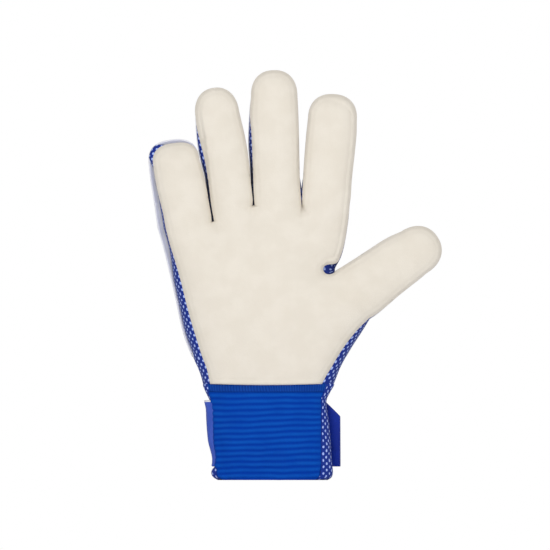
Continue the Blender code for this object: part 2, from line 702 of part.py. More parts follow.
DIGIT = {name: Digit(spec) for name, spec in DIGITS.items()}
OUTLINE = {panel: glove_outline(panel) for panel in ("front", "back")}


def main():
    clear_scene()
    bpy.context.scene.collection.children.link(bpy.data.collections.new("goalkeeper_glove"))
    for name in MATERIALS:
        make_material(name)
    hand_panel("palm_foam", "front", WRIST_Z, PALM_FOAM, "latex_foam")
    hand_panel("backhand_foam", "back", BACK_FOAM_Z, BACK_FOAM, "back_foam")
    hand_back_mesh()
    hand_walls()
    for name in DIGIT:
        for part in ("base", "tip"):
            segment_panel(f"{name}_{part}_palm_foam", name, "front", part, PALM_FOAM, "latex_foam")
            segment_panel(f"{name}_{part}_back_foam", name, "back", part, BACK_FOAM, "back_foam")
        segment_walls(name)
    cuff_and_strap()
    place_origins()


main()
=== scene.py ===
"""The looks of the right-hand goalkeeper glove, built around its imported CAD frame.

Frame: +Z towards the fingertips, the palm faces -Y, the thumb is on +X. Sizes here are millimetres, and MM
turns them into Blender's metres.

The foam panels are slabs over a front (palm) and a back outline in the XZ plane. The gussets join the two
outlines. All three are made whole and are then cut at the digits' bends, so that each cut stays closed.
"""

import math

import bmesh
import bpy
import numpy as np
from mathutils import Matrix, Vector, noise
from mathutils.geometry import delaunay_2d_cdt


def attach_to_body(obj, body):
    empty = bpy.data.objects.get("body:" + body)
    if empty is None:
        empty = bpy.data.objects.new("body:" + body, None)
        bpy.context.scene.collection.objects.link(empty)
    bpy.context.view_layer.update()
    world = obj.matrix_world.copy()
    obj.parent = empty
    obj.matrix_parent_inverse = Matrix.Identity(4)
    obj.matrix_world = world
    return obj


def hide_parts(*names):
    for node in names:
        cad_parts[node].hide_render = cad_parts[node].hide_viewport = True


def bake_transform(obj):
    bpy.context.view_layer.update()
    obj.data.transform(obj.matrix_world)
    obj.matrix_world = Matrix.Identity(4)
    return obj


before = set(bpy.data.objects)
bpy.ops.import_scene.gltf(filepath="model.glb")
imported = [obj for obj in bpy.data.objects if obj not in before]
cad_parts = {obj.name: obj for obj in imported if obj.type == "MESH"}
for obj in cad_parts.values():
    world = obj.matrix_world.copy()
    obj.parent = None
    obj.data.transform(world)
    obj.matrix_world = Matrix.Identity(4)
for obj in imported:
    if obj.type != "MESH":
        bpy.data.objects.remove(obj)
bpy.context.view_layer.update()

MM = 0.001

# ---- sizes, millimetres ----
WRIST_Z = 62.4  # lower edge of the palm latex
BACK_FOAM_Z = 79.8  # lower edge of the backhand foam
EDGE_STEP = 1.3  # distance between points along the outlines
GRID_STEP = {"front": 2.0, "back": 1.35}  # distance between points inside the foam panels
EDGE_RINGS = (0.12, 0.45, 0.95, 1.6, 2.5, 3.3, 4.1, 5.3)  # depths of the rings of points along a panel's edge
HEM = {"front": (WRIST_Z, 0.7, 56), "back": (BACK_FOAM_Z, 3.0, 64)}  # lower edge: height, sag, point count
FOAM_ROUND = {"front": 1.5, "back": 1.3}  # radius of a foam panel's rounded edge, half its thickness
SEAM_INSET = {"front": 3.3, "back": 2.8}  # from a foam panel's edge to its stitched groove
SEAM_DEPTH = {"front": 0.28, "back": 0.45}
RIB_PITCH, RIB_HEIGHT = 3.75, 0.55
ELASTIC_BAND = 5.4  # height of the stitched band along the top of the elastic
STRAP_BOTTOM, STRAP_TOP, STRAP_THICK = 8.8, 52.0, 2.0
TAB_END, TAB_CHAMFER = (46.2, 9.4), 10.4  # the strap's free end in XY, and how far its upper edge drops there
CLEARS_CUFF = 37.3  # the x where that drop starts

# Crotches and outer corners of the four finger bases, from the little finger to the index finger.
FINGER_LINE = [(-72.8, 164.0), (-36.8, 167.8), (-10.4, 178.6), (21.4, 179.1), (52.8, 179.4)]
THUMB_TOP, THUMB_LOW = (42.6, 136.2), (65.7, 104.3)
CROTCH, CLOSED_CROTCH = 0.36, 0.14  # half the width of the slit at a crotch; the index finger's is closed

# Half height of the side walls, and how far the panels dome beyond them.
SIDE_WRIST, SIDE_PALM, SIDE_DIGIT, SIDE_TIP = 8.6, 8.6, 7.2, 2.2
DOME = {"front": (6.0, 8.8, 5.6), "back": (5.4, 7.2, 4.8)}  # at the wrist, over the palm and over a digit
DOME_ROUND = (22.0, 30.0, 15.5)  # distance from the edge to the top of the dome, at the same three places

# Each digit: base point and tilt in XZ, length, middle knuckle, length of the rounded tip, and half widths
# (distance from the base, width) towards the little-finger side and the thumb side. An inset says how far
# the palm latex stops short of the back outline: on one of those sides, or at the tip.
DIGITS = {
    "little": dict(
        base=(-54.9, 167.4), tilt=-7.5, length=54.6, knuckle=23.0, tip=15.0, round=2.6,
        near=[(5, 17.9), (20, 18.1), (33, 18.4), (40, 18.2)],
        far=[(3, 17.8), (9, 17.5), (17, 17.3), (25.5, 16.8), (34, 15.8), (40, 14.9)],
        near_inset=[(0, 5.1), (5, 5.0), (13, 4.3), (22, 3.4), (30, 3.2), (40, 2.8)], tip_inset=2.4,
    ),
    "ring": dict(
        base=(-23.4, 175.2), tilt=-8.7, length=80.8, knuckle=34.0, tip=17.0, round=2.2,
        near=[(5, 14.6), (17, 14.8), (25, 15.0), (33, 15.8), (41, 16.4), (49, 16.4), (57, 15.8), (64, 14.9)],
        far=[(4, 13.7), (10, 14.0), (17, 14.3), (26, 14.9), (36, 15.2), (48, 14.9), (58, 14.1), (64, 13.7)],
        near_inset=[(0, 0.8), (6, 1.2), (14, 1.6), (25, 2.0), (32, 2.6), (40, 2.7), (48, 2.0), (57, 0.7),
                    (64, 0.0)],
    ),
    "middle": dict(
        base=(5.7, 179.4), tilt=-1.8, length=87.1, knuckle=37.0, tip=17.0, round=2.3,
        near=[(5, 16.3), (15, 17.0), (30, 17.6), (38, 18.0), (46, 17.8), (54, 17.2), (62, 16.4), (70, 15.2)],
        far=[(5, 15.2), (14, 14.9), (29, 15.0), (45, 15.2), (61, 15.2), (70, 15.0)],
        near_inset=[(0, 0.7), (8, 1.1), (16, 1.6), (25, 1.8), (36, 2.4), (44, 2.3), (54, 1.0), (64, 0.0)],
    ),
    "index": dict(
        base=(37.1, 178.8), tilt=3.1, length=72.3, knuckle=31.0, tip=16.0, round=2.3,
        near=[(5, 15.8), (14, 15.9), (30, 15.8), (45, 15.4), (56, 14.8)],
        far=[(5, 15.7), (16, 15.8), (23, 16.1), (31, 16.6), (39, 17.0), (47, 17.3), (56, 17.0)],
    ),
    "thumb": dict(
        base=(54.3, 121.2), tilt=57.6, length=66.4, knuckle=31.0, tip=18.0, round=2.2,
        near=[(6, 18.4), (12, 18.4), (25, 18.6), (32, 18.7), (39, 18.5), (48, 17.2)],
        far=[(6, 19.9), (12, 19.1), (18, 18.2), (24, 17.3), (30, 16.6), (36, 16.0), (42, 15.4), (48, 14.6)],
        far_inset=[(0, 0.7), (8, 0.2), (16, 0.0)],
    ),
}
FINGERS = ("little", "ring", "middle", "index")

# Side edges of the hand, as (x, z) from the wrist up.
LITTLE_EDGE = {
    "front": [(-38.3, 62.4), (-40.6, 72.8), (-43.6, 80.6), (-46.1, 88.4), (-52.0, 107.9), (-57.9, 131.3),
              (-62.3, 146.3), (-64.8, 154.4), (-66.2, 160.0)],
    "back": [(-42.9, 62.4), (-44.5, 68.2), (-47.1, 74.8), (-50.0, 80.2), (-54.1, 90.0), (-61.3, 119.6),
             (-66.7, 143.0), (-70.1, 156.0)],
}
THUMB_EDGE = {
    "front": [(34.5, 62.4), (36.4, 66.3), (40.3, 72.8), (44.9, 80.6), (50.1, 88.4), (56.6, 96.6)],
    "back": [(42.3, 62.4), (44.1, 67.0), (46.4, 72.8), (50.5, 80.6), (55.2, 88.4), (60.2, 96.0)],
}
INDEX_EDGE = {  # the latex has a small round notch at the root of the thumb
    "front": [(42.9, 135.6), (41.0, 134.2), (38.4, 133.8), (36.2, 134.8), (35.2, 136.9), (36.0, 139.0),
              (38.2, 140.1), (41.2, 140.2), (44.2, 141.2), (46.1, 144.2), (47.5, 148.0), (49.3, 154.9),
              (50.6, 162.5), (51.8, 171.6)],
    "back": [(43.1, 138.0), (44.0, 139.6), (45.2, 141.7), (46.5, 144.2), (47.5, 146.9), (49.4, 154.7),
             (50.7, 162.5), (51.9, 171.6)],
}

# Half widths of the cuff at each height, towards the little finger and towards the thumb.
CUFF_LEVELS = [0.0, 1.2, 3.0, 5.0, 7.0, 8.6, 10.0, 26.0, 40.0, 48.0, 52.0, 57.0, 62.4, 66.0]
CUFF_NEAR = [32.8, 35.0, 36.6, 37.0, 36.4, 35.0, 34.4, 35.4, 36.2, 37.0, 38.3, 40.7, 42.9, 43.6]
CUFF_FAR = [37.6, 39.6, 40.7, 41.0, 41.0, 40.8, 40.7, 39.9, 38.7, 37.3, 37.1, 39.2, 42.4, 44.0]
CUFF_FRONT = [15.6, 15.6, 15.6, 15.6, 15.5, 15.4, 15.3, 14.9, 14.4, 14.0, 13.9, 13.7, 13.5, 13.4]
CUFF_BACK = [15.0, 15.0, 15.0, 15.0, 15.0, 15.0, 15.0, 14.8, 14.4, 14.1, 14.0, 13.9, 13.7, 13.6]
CUFF_POWER = 2.5
# Seams round the cuff as (height, degrees): 0 is the thumb side, 90 the back, 180 the little-finger side and
# 270 the palm.
SEAM_LITTLE = [(0, 211.0), (7, 211.0), (9.5, 192.0), (26, 194.0), (50, 194.0), (54, 198.0), (62.4, 205.0),
               (66, 205.0)]
SEAM_THUMB = [(0, 319.5), (6, 320.0), (9, 322.0), (26, 323.5), (40, 326.5), (49, 333.0), (57, 332.0),
              (62.4, 326.5), (66, 326.0)]
SEAM_BACK_THUMB, SEAM_BACK_LITTLE = [(0, 396.0)], [(0, 510.0)]
STRAP_HINGE, STRAP_LEAVES = 148.0, 42.0  # degrees round the cuff: where it bends, and where its end goes free
BATCH = 2000  # points tested against a line at a time, which keeps the arrays small


# ---- curves and fields in the XZ plane ----
def smoothstep(t):
    t = np.clip(t, 0.0, 1.0)
    return t * t * (3 - 2 * t)


def mix(a, b, t):
    return a + (b - a) * t


def smooth_curve(x, knots):
    """A smooth curve through (x, y) knots, level beyond its ends."""
    knots = np.array(knots, float)
    if len(knots) == 1:
        return np.full_like(np.asarray(x, float), knots[0, 1])
    kx, ky = knots[:, 0], knots[:, 1]
    slope = np.gradient(ky, kx)
    x = np.clip(np.asarray(x, float), kx[0], kx[-1])
    k = np.clip(np.searchsorted(kx, x) - 1, 0, len(kx) - 2)
    width = kx[k + 1] - kx[k]
    t = (x - kx[k]) / width
    rise = t * t * (3 - 2 * t)
    start = t * (1 - t) ** 2 * slope[k] * width
    end = t * t * (t - 1) * slope[k + 1] * width
    return mix(ky[k], ky[k + 1], rise) + start + end


def running_length(points):
    """How far along its line each point is. points may also hold many lines at once."""
    steps = np.linalg.norm(np.diff(points, axis=-2), axis=-1)
    return np.concatenate([np.zeros((*steps.shape[:-1], 1)), np.cumsum(steps, axis=-1)], axis=-1)


def smooth_line(points, step):
    """Points a step apart along a smooth curve through the given points."""
    points = np.array(points, float)
    reach = running_length(points)
    even = np.linspace(0, reach[-1], max(2, round(reach[-1] / step) + 1))
    return np.stack([smooth_curve(even, np.stack([reach, c], 1)) for c in points.T], 1)


def spots_along(points, reach, places):
    """Points at some places along a line, whose own points are at reach."""
    return np.stack([np.interp(places, reach, c) for c in points.T], 1)


def resampled(points, count):
    reach = running_length(points)
    return spots_along(points, reach, np.linspace(0, reach[-1], count))


def distance_to_line(p, line):
    """Distance from each of many points to a polyline."""
    start, run = line[:-1], np.diff(line, axis=0)
    square = np.maximum((run * run).sum(1), 1e-12)
    found = np.empty(len(p))
    for k in range(0, len(p), BATCH):
        offset = p[k : k + BATCH, None] - start[None]
        t = np.clip((offset * run).sum(2) / square, 0, 1)
        found[k : k + BATCH] = np.sqrt(((offset - t[..., None] * run) ** 2).sum(2).min(1))
    return found


def inside(p, polygon):
    """Which of many points lie inside a polygon."""
    a, b = polygon, np.roll(polygon, -1, axis=0)
    found = np.zeros(len(p), bool)
    for k in range(0, len(p), BATCH):
        x, z = p[k : k + BATCH, 0, None], p[k : k + BATCH, 1, None]
        spans = (a[:, 1] > z) != (b[:, 1] > z)
        height = np.where(b[:, 1] == a[:, 1], 1.0, b[:, 1] - a[:, 1])
        crossing = a[:, 0] + (z - a[:, 1]) / height * (b[:, 0] - a[:, 0])
        found[k : k + BATCH] = (spans & (x < crossing)).sum(1) % 2 == 1
    return found


def unit(v):
    return v / np.maximum(np.linalg.norm(v, axis=-1, keepdims=True), 1e-9)


def signed_power(v, power):
    return np.sign(v) * np.abs(v) ** power


class Digit:
    """One finger or the thumb: s is the distance along it from its base, lateral the distance across it."""

    def __init__(self, name, spec):
        tilt = math.radians(spec["tilt"])
        self.name, self.spec = name, spec
        self.base = np.array(spec["base"])
        self.along = np.array([math.sin(tilt), math.cos(tilt)])
        self.across = np.array([math.cos(tilt), -math.sin(tilt)])
        self.length, self.knuckle, self.tip = spec["length"], spec["knuckle"], spec["tip"]
        self.cut = 0.62 * self.knuckle  # where its base piece meets its tip piece
        if name == "thumb":
            self.low, self.high = np.array(THUMB_TOP), np.array(THUMB_LOW)
        else:
            k = FINGERS.index(name)
            self.low, self.high = np.array(FINGER_LINE[k]), np.array(FINGER_LINE[k + 1])
        self.base_run = unit(self.high - self.low)
        self.base_normal = np.array([-self.base_run[1], self.base_run[0]])

    def point(self, s, lateral):
        return self.base + np.multiply.outer(s, self.along) + np.multiply.outer(lateral, self.across)

    def local(self, p):
        offset = np.asarray(p) - self.base
        return offset @ self.along, offset @ self.across

    def inset(self, side, s, panel):
        """How far a panel stops short of the back outline. Only the palm latex does."""
        table = self.spec.get(side + "_inset") if panel == "front" else None
        return smooth_curve(s, table or [(0, 0.0)])

    def side(self, side, s, panel):
        """The edge on one side at distances s, starting from the corner of the base line."""
        sign = -1 if side == "near" else 1
        closed = (self.name, side) in (("middle", "far"), ("index", "near"))
        gap = (CLOSED_CROTCH if closed else CROTCH) + float(self.inset(side, 0.0, panel))
        corner = self.low + self.base_run * gap if side == "near" else self.high - self.base_run * gap
        start, lateral = self.local(corner)
        table = [(k, w - float(self.inset(side, k, panel))) for k, w in self.spec[side]]
        width = smooth_curve(s, [(0.0, abs(lateral))] + table)
        points = self.point(s, sign * width)
        return points + np.multiply.outer(np.clip(1 - s / 6.0, 0, 1), self.along * start)

    def edge_point(self, side, s, panel):
        return self.side(side, np.array([s]), panel)[0]

    def stations(self):
        end = self.length - self.tip
        low = np.linspace(0, self.cut, max(2, round(self.cut / EDGE_STEP)))
        high = np.linspace(self.cut, end, max(2, round((end - self.cut) / EDGE_STEP)))
        return np.concatenate([low, high[1:]])

    def end_curve(self, panel):
        """The rounded tip, from its near side to its far side."""
        start = self.length - self.tip
        near, far = (abs(self.local(self.edge_point(side, start, panel))[1]) for side in ("near", "far"))
        reach = self.tip - (self.spec.get("tip_inset", 0.0) if panel == "front" else 0.0)
        angle = np.linspace(math.pi, 0, round(math.pi * 15.0 / EDGE_STEP))[1:-1]
        squareness = 2 / self.spec["round"]
        lateral = (far - near) / 2 + (far + near) / 2 * signed_power(np.cos(angle), squareness)
        return self.point(start + reach * np.sin(angle) ** squareness, lateral)


DIGIT = {name: Digit(name, spec) for name, spec in DIGITS.items()}


def edge_path(panel):
    """The glove's whole edge on one panel, from the wrist's little-finger side round to its thumb side. Both
    panels give the same number of points. Returns the points, each one's digit (or "hand"), and its s."""
    points, owner, where = [], [], []

    def add(line, name, s):
        points.extend(line)
        owner.extend([name] * len(line))
        where.extend(s)

    def hand(line, length):  # the length is rough, and sets the number of points
        line = resampled(smooth_line(line, 0.5), round(length / EDGE_STEP))
        add(line, "hand", np.zeros(len(line)))

    thumb = DIGIT["thumb"]
    hand(LITTLE_EDGE[panel] + [DIGIT["little"].edge_point("near", 0.0, panel)], 108)
    for name, digit in DIGIT.items():
        s, end = digit.stations(), digit.end_curve(panel)
        add(digit.side("near", s, panel), name, s)
        add(end, name, np.full(len(end), digit.length))
        add(digit.side("far", s[::-1], panel), name, s[::-1])
        if name == "index":
            ends = digit.edge_point("far", 0.0, panel), thumb.edge_point("near", 0.0, panel)
            hand([ends[0]] + INDEX_EDGE[panel][::-1] + [ends[1]], 56)
    hand([thumb.edge_point("far", 0.0, panel)] + THUMB_EDGE[panel][::-1], 50)
    return np.array(points), np.array(owner), np.array(where)


PATH = {}
for panel_name in ("front", "back"):
    PATH[panel_name], OWNER, STATION = edge_path(panel_name)
# The same edges, run on below the wrist: the wrist's own edge isn't a side.
SIDES = {k: np.vstack([[v[0] - (0, 60)], v, [v[-1] - (0, 60)]]) for k, v in PATH.items()}

PLACE, ON_FINGER = np.arange(len(OWNER)), np.isin(OWNER, FINGERS)
FIRST, LAST = np.flatnonzero(ON_FINGER)[[0, -1]]
OUTER_WALL = 60  # at least this many points lead up a finger's outer wall and round its tip
FACING = ON_FINGER & (PLACE > FIRST + OUTER_WALL) & (PLACE < LAST - OUTER_WALL)  # walls between fingers


def digit_share(p):
    """0 over the palm, rising to 1 over a digit, and how far towards the digit's tip each point is."""
    share, towards_tip = np.zeros(len(p)), np.zeros(len(p))
    for name, digit in DIGIT.items():
        s, lateral = digit.local(p)
        inside_it = 1 - smoothstep((np.abs(lateral) - 22) / 15)
        reach = (s + 10) / 45 if name == "thumb" else (s + 18) / 36
        share = np.maximum(share, smoothstep(reach) * inside_it)
        towards_tip = np.maximum(towards_tip, np.where(np.abs(lateral) < 20, smoothstep(s / digit.length), 0))
    return share, towards_tip


def belly(p):
    return np.sin(math.pi * np.clip((p[:, 1] - WRIST_Z) / 117, 0, 1))


def half_side(p):
    """Half the height of the side wall."""
    share, towards_tip = digit_share(p)
    return mix(mix(SIDE_WRIST, SIDE_PALM, belly(p)), mix(SIDE_DIGIT, SIDE_TIP, towards_tip), share)


def at_places(values, p, share):
    wrist, palm, digit = values
    return mix(mix(wrist, palm, belly(p)), digit, share)


def ripple(p, size, seed):
    """Smooth noise from -1 to 1 over the plane."""
    return np.array([noise.noise(Vector((x / size, z / size, seed))) for x, z in p])


FLEX_PITCH = 5.5
FAN_MIDDLE, FAN_ANGLES = (6.0, 60.0), (-27.0, -14.0, 0.0, 13.5)


def flex_grooves(p):
    """How deep the embossed flex channels of the backhand are: three over each middle knuckle, and a fan of
    bars behind the knuckles of the hand."""
    deep = np.zeros(len(p))
    for name, digit in DIGIT.items():
        s, lateral = digit.local(p)
        width = 9.5 if name != "thumb" else 10.5
        reach = 1 - smoothstep((np.abs(lateral) - width) / 1.5)
        for place in (-FLEX_PITCH, 0.0, FLEX_PITCH):
            line = s - digit.knuckle - place + 0.012 * lateral**2
            deep = np.maximum(deep, np.exp(-((line / 1.25) ** 2)) * reach)
    offset = p - FAN_MIDDLE
    angle, radius = np.arctan2(offset[:, 0], offset[:, 1]), np.linalg.norm(offset, axis=1)
    reach = smoothstep((radius - 62) / 4) * (1 - smoothstep((radius - 106) / 4))
    for degrees in FAN_ANGLES:
        bar = np.abs((angle - math.radians(degrees)) * radius)
        deep = np.maximum(deep, np.exp(-(((bar - 3.8) / 1.15) ** 2)) * reach)
    return deep


def seam_groove(p, panel, edge):
    """The stitched groove inside a foam panel's edge. Round the index finger's outer side it is deeper, and
    it runs further in at the tip."""
    inset, depth = np.full(len(p), SEAM_INSET[panel]), np.full(len(p), SEAM_DEPTH[panel])
    if panel == "front":
        s, lateral = DIGIT["index"].local(p)
        outer = smoothstep((lateral + 4) / 8) * smoothstep((s + 46) / 14)
        outer = outer * (1 - smoothstep((lateral - 24) / 4))
        tip = outer * smoothstep((s - 60) / 6)
        inset, depth = inset + 0.3 * outer + 1.4 * tip, depth + 0.42 * outer
    return depth * np.exp(-(((edge - inset) / 0.6) ** 2))


def slab_heights(p, panel, loop):
    """Heights over the plane of a foam panel's middle, and what its two faces add to that."""
    share, _ = digit_share(p)
    edge, side = distance_to_line(p, loop), distance_to_line(p, SIDES[panel])
    radius = FOAM_ROUND[panel]
    rounded = np.sqrt(np.clip(1 - (1 - np.clip(edge / radius, 0, 1)) ** 2, 0, 1))
    reach = np.clip((side - 0.6 * radius) / at_places(DOME_ROUND, p, share), 0, 1)
    dome = at_places(DOME[panel], p, share) * (1 - (1 - reach) ** 2.1) ** 0.62
    middle = half_side(p) + 0.3 + dome
    groove = seam_groove(p, panel, edge)
    channels = np.zeros(len(p))
    if panel == "back":
        channels = flex_grooves(p) * smoothstep((edge - 2) / 3)
        groove = np.maximum(groove, 1.1 * channels)
    swell = (0.3 * ripple(p, 26.0, 3.1) + 0.12 * ripple(p, 9.0, 7.7)) * smoothstep((edge - 1.0) / 8)
    return middle, rounded * radius, groove, swell, edge, channels


# ---- meshes ----
def placed(name, data, place=(0.0, 0.0, 0.0)):
    """A new object in the scene."""
    made = bpy.data.objects.new(name, data)
    made.location = place
    bpy.context.scene.collection.objects.link(made)
    return made


def make_piece(name, points, faces, material, uv=None, normals=None, inner=None):
    """A mesh object from points in millimetres. inner says which faces are lining."""
    mesh = bpy.data.meshes.new(name)
    mesh.from_pydata((np.asarray(points) * MM).tolist(), [], [list(map(int, f)) for f in faces])
    mesh.materials.append(MATERIAL[material])
    if inner is not None:
        mesh.materials.append(MATERIAL["lining"])
        mesh.polygons.foreach_set("material_index", np.asarray(inner, np.int32))
    if uv is not None:
        layer = mesh.uv_layers.new(name="cloth")
        corner = np.zeros(len(mesh.loops), np.int32)
        mesh.loops.foreach_get("vertex_index", corner)
        layer.data.foreach_set("uv", (np.asarray(uv, np.float32)[corner] * 0.01).ravel())
    mesh.shade_smooth()
    if normals is not None:
        mesh.normals_split_custom_set_from_vertices(np.asarray(normals, float).tolist())
    return placed(name, mesh)


def mark_points(piece, values):
    """Stores a value from 0 to 1 at each point, for the piece's material."""
    layer = piece.data.attributes.new("mark", "FLOAT", "POINT")
    layer.data.foreach_set("value", np.asarray(values, np.float32))


def vertex_normals(points, faces):
    """Area-weighted normals of a mesh of triangles or quads."""
    faces = np.asarray(faces)
    a, b, c = points[faces[:, 0]], points[faces[:, 1]], points[faces[:, 2]]
    area = np.cross(b - a, c - a)
    if faces.shape[1] == 4:
        area = np.cross(points[faces[:, 2]] - points[faces[:, 0]], points[faces[:, 3]] - points[faces[:, 1]])
    found = np.zeros_like(points)
    for k in range(faces.shape[1]):
        np.add.at(found, faces[:, k], area)
    return unit(found)


def covered(values):
    """The length that values cover without their steps of over 3 mm. Those are the gaps between the strips
    of the crotches' piece, and one step at the little finger's tip, which makes that piece 3 mm short."""
    steps = np.diff(np.sort(values))
    return steps[steps < 3.0].sum()


def cloth_sheet(points, quads, uv):
    """Works out a piece of cloth's own unrolled size in this model, as its flat size, and its area; nothing
    declares the piece or uses them. uv holds each point's place on the flat cloth, in millimetres."""
    size = np.array([covered(column) for column in uv.T]) * MM
    a, b, c, d = (points[quads[:, k]] for k in range(4))
    area = 0.5 * np.linalg.norm(np.cross(c - a, d - b), axis=1).sum() * MM**2
    area = min(area, 0.999 * size[0] * size[1])


def take(keep, points, faces, *columns):
    """The faces chosen by keep, with only the points they use. Returns points, faces and the columns."""
    faces = np.asarray(faces)[keep]
    used, index = np.unique(faces, return_inverse=True)
    return (points[used], index.reshape(faces.shape), *[c[used] for c in columns])


def grid_quads(rows, columns, wrap=False):
    quads = []
    for r in range(rows - 1):
        for c in range(columns if wrap else columns - 1):
            d = (c + 1) % columns
            quads.append((r * columns + c, r * columns + d, (r + 1) * columns + d, (r + 1) * columns + c))
    return np.array(quads)


def outward_grid(points, rows, columns):
    """The quads and normals of a grid of points, turned away from the middle of the glove."""
    quads = grid_quads(rows, columns)
    normals = vertex_normals(points, quads)
    if (normals[:, :2] * points[:, :2]).sum() < 0:
        return quads[:, ::-1], -normals
    return quads, normals


def thick(points, faces, normals, thickness):
    """Gives a sheet thickness: a copy of it behind, joined round its border. Returns points, faces and the
    flags of the back faces."""
    count = len(points)
    faces = np.asarray(faces)
    both = np.vstack([points, points - normals * np.reshape(thickness, (-1, 1))])
    edges = {}
    for face in faces:
        for a, b in zip(face, np.roll(face, -1)):
            edges[(a, b)] = True
    rim = [(b, a, a + count, b + count) for a, b in edges if (b, a) not in edges]
    all_faces = [tuple(f) for f in faces] + [tuple(f[::-1] + count) for f in faces] + rim
    flags = np.concatenate([np.zeros(len(faces)), np.ones(len(faces)), np.zeros(len(rim))])
    return both, all_faces, flags


# ---- foam panels ----
# Each panel: which way it faces, its material and slot, and the names of its pieces and CAD nodes.
FOAM = {
    "front": dict(
        sign=-1, material="latex", slot="latex_foam", label="palm_latex", hand="palm_foam", digit="palm_foam",
    ),
    "back": dict(
        sign=1, material="back_foam", slot="back_foam", label="back_panel", hand="backhand_foam",
        digit="back_foam",
    ),
}


def panel_triangles(panel):
    """Triangles over a panel's outline. Rings of points follow the edge, and the bends are lines of edges."""
    outline = PATH[panel]
    height, sag, count = HEM[panel]
    if panel == "back":
        outline = outline[outline[:, 1] > height]
    x = np.linspace(outline[-1, 0], outline[0, 0], count + 2)[1:-1]
    hem = np.stack([x, height - sag * np.sin(np.linspace(0, math.pi, count))], 1)
    closed = np.vstack([outline, hem])
    loop = np.vstack([closed, closed[:1]])
    tangent = unit(np.roll(closed, -1, axis=0) - np.roll(closed, 1, axis=0))
    inward = np.stack([tangent[:, 1], -tangent[:, 0]], 1)
    seeds = []
    for depth in EDGE_RINGS:
        ring = closed + inward * depth
        ring = ring[inside(ring, closed)]
        seeds.append(ring[distance_to_line(ring, loop) > 0.96 * depth])
    step = GRID_STEP[panel]
    x, z = np.meshgrid(np.arange(-90, 120, step), np.arange(50, 275, step * 0.866))
    x = x + (np.arange(len(x)) % 2)[:, None] * step / 2
    grid = np.stack([x.ravel(), z.ravel()], 1)
    grid = grid[inside(grid, closed)]
    seeds.append(grid[distance_to_line(grid, loop) > 6.6])
    seeds = np.vstack(seeds)
    lines = []
    for digit in DIGIT.values():
        ends = [digit.edge_point(side, digit.cut, panel) for side in ("near", "far")]
        for a, b in ((digit.low, digit.high), ends):
            line = mix(a, b, np.linspace(0, 1, round(np.linalg.norm(b - a) / EDGE_STEP) + 1)[:, None])
            middle = line[1:-1][inside(line[1:-1], closed)]
            middle = middle[distance_to_line(middle, loop) > 0.12]
            lines.append(np.vstack([a, middle, b]))
            seeds = seeds[distance_to_line(seeds, lines[-1]) > 0.5 * EDGE_STEP]
    points, count = np.vstack([closed, seeds]), len(closed)
    edges = [(k, (k + 1) % count) for k in range(count)]
    for line in lines:
        edges += [(len(points) + k, len(points) + k + 1) for k in range(len(line) - 1)]
        points = np.vstack([points, line])
    found = delaunay_2d_cdt([Vector(p) for p in points], edges, [], 0, 1e-5)
    flat, triangles = np.array([tuple(v) for v in found[0]]), np.array(found[2])
    middle = flat[triangles].mean(1)
    triangles = triangles[inside(middle, closed)]
    return flat, triangles, loop


def zones(p):
    """Which piece each point of the plane belongs to: 'hand', or a digit's 'base' or 'tip'."""
    middles = [np.array([d.base, d.point(d.length - 8, 0.0)]) for d in DIGIT.values()]
    nearest = np.argmin([distance_to_line(p, line) for line in middles], axis=0)
    found = np.full(len(p), "hand", dtype="U12")
    for k, (name, digit) in enumerate(DIGIT.items()):
        s, lateral = digit.local(p)
        beyond = ((p - digit.low) @ digit.base_normal > 0) & (lateral > -20.0) & (lateral < 21.5)
        mine = (nearest == k) & beyond
        found[mine] = np.where(s > digit.cut, name + "_tip", name + "_base")[mine]
    return found


def foam_panel(panel):
    """The palm latex or the backhand foam: one slab, cut into the hand's piece and two for each digit."""
    look = FOAM[panel]
    sign = look["sign"]
    flat, triangles, loop = panel_triangles(panel)
    used = np.unique(triangles)
    index = np.full(len(flat), -1)
    index[used] = np.arange(len(used))
    flat, triangles = flat[used], index[triangles]
    middle, rounded, groove, swell, edge, channels = slab_heights(flat, panel, loop)
    outer = np.stack([flat[:, 0], sign * (middle + rounded - groove + swell), flat[:, 1]], 1)
    inner = np.stack([flat[:, 0], sign * (middle - rounded + 0.5 * swell), flat[:, 1]], 1)
    a, b, c = (flat[triangles[:, k]] for k in range(3))
    turn = (b[:, 0] - a[:, 0]) * (c[:, 1] - a[:, 1]) - (b[:, 1] - a[:, 1]) * (c[:, 0] - a[:, 0])
    wrong = turn * sign > 0
    triangles[wrong] = triangles[wrong][:, ::-1]
    border = edge < 1e-4
    count, place = len(flat), np.arange(len(flat))
    twin = np.where(border, place, place + count)  # the two faces share the points of the edge
    points = np.vstack([outer, inner])
    points[:count][border, 1] = sign * middle[border]
    faces = np.vstack([triangles, twin[triangles][:, ::-1]])
    lined = edge[triangles].mean(1) > 4.0
    flags = np.concatenate([np.zeros(len(triangles)), lined])
    normals = vertex_normals(points, faces)
    zone = zones(flat[triangles].mean(1))
    zone = np.concatenate([zone, zone])
    uv, marks = np.vstack([flat, flat]), np.concatenate([channels, channels])
    made = {}
    for name in np.unique(zone):
        keep = zone == name
        *shape, got_uv, got_normals, got_marks = take(keep, points, faces, uv, normals, marks)
        node = look["hand"] if name == "hand" else f"{name}_{look['digit']}"
        label = f"{name}_{look['label']}"
        piece = make_piece(label, *shape, look["material"], got_uv, got_normals, flags[keep])
        mark_points(piece, got_marks)
        made[name] = attach(piece, name, node)
    return made


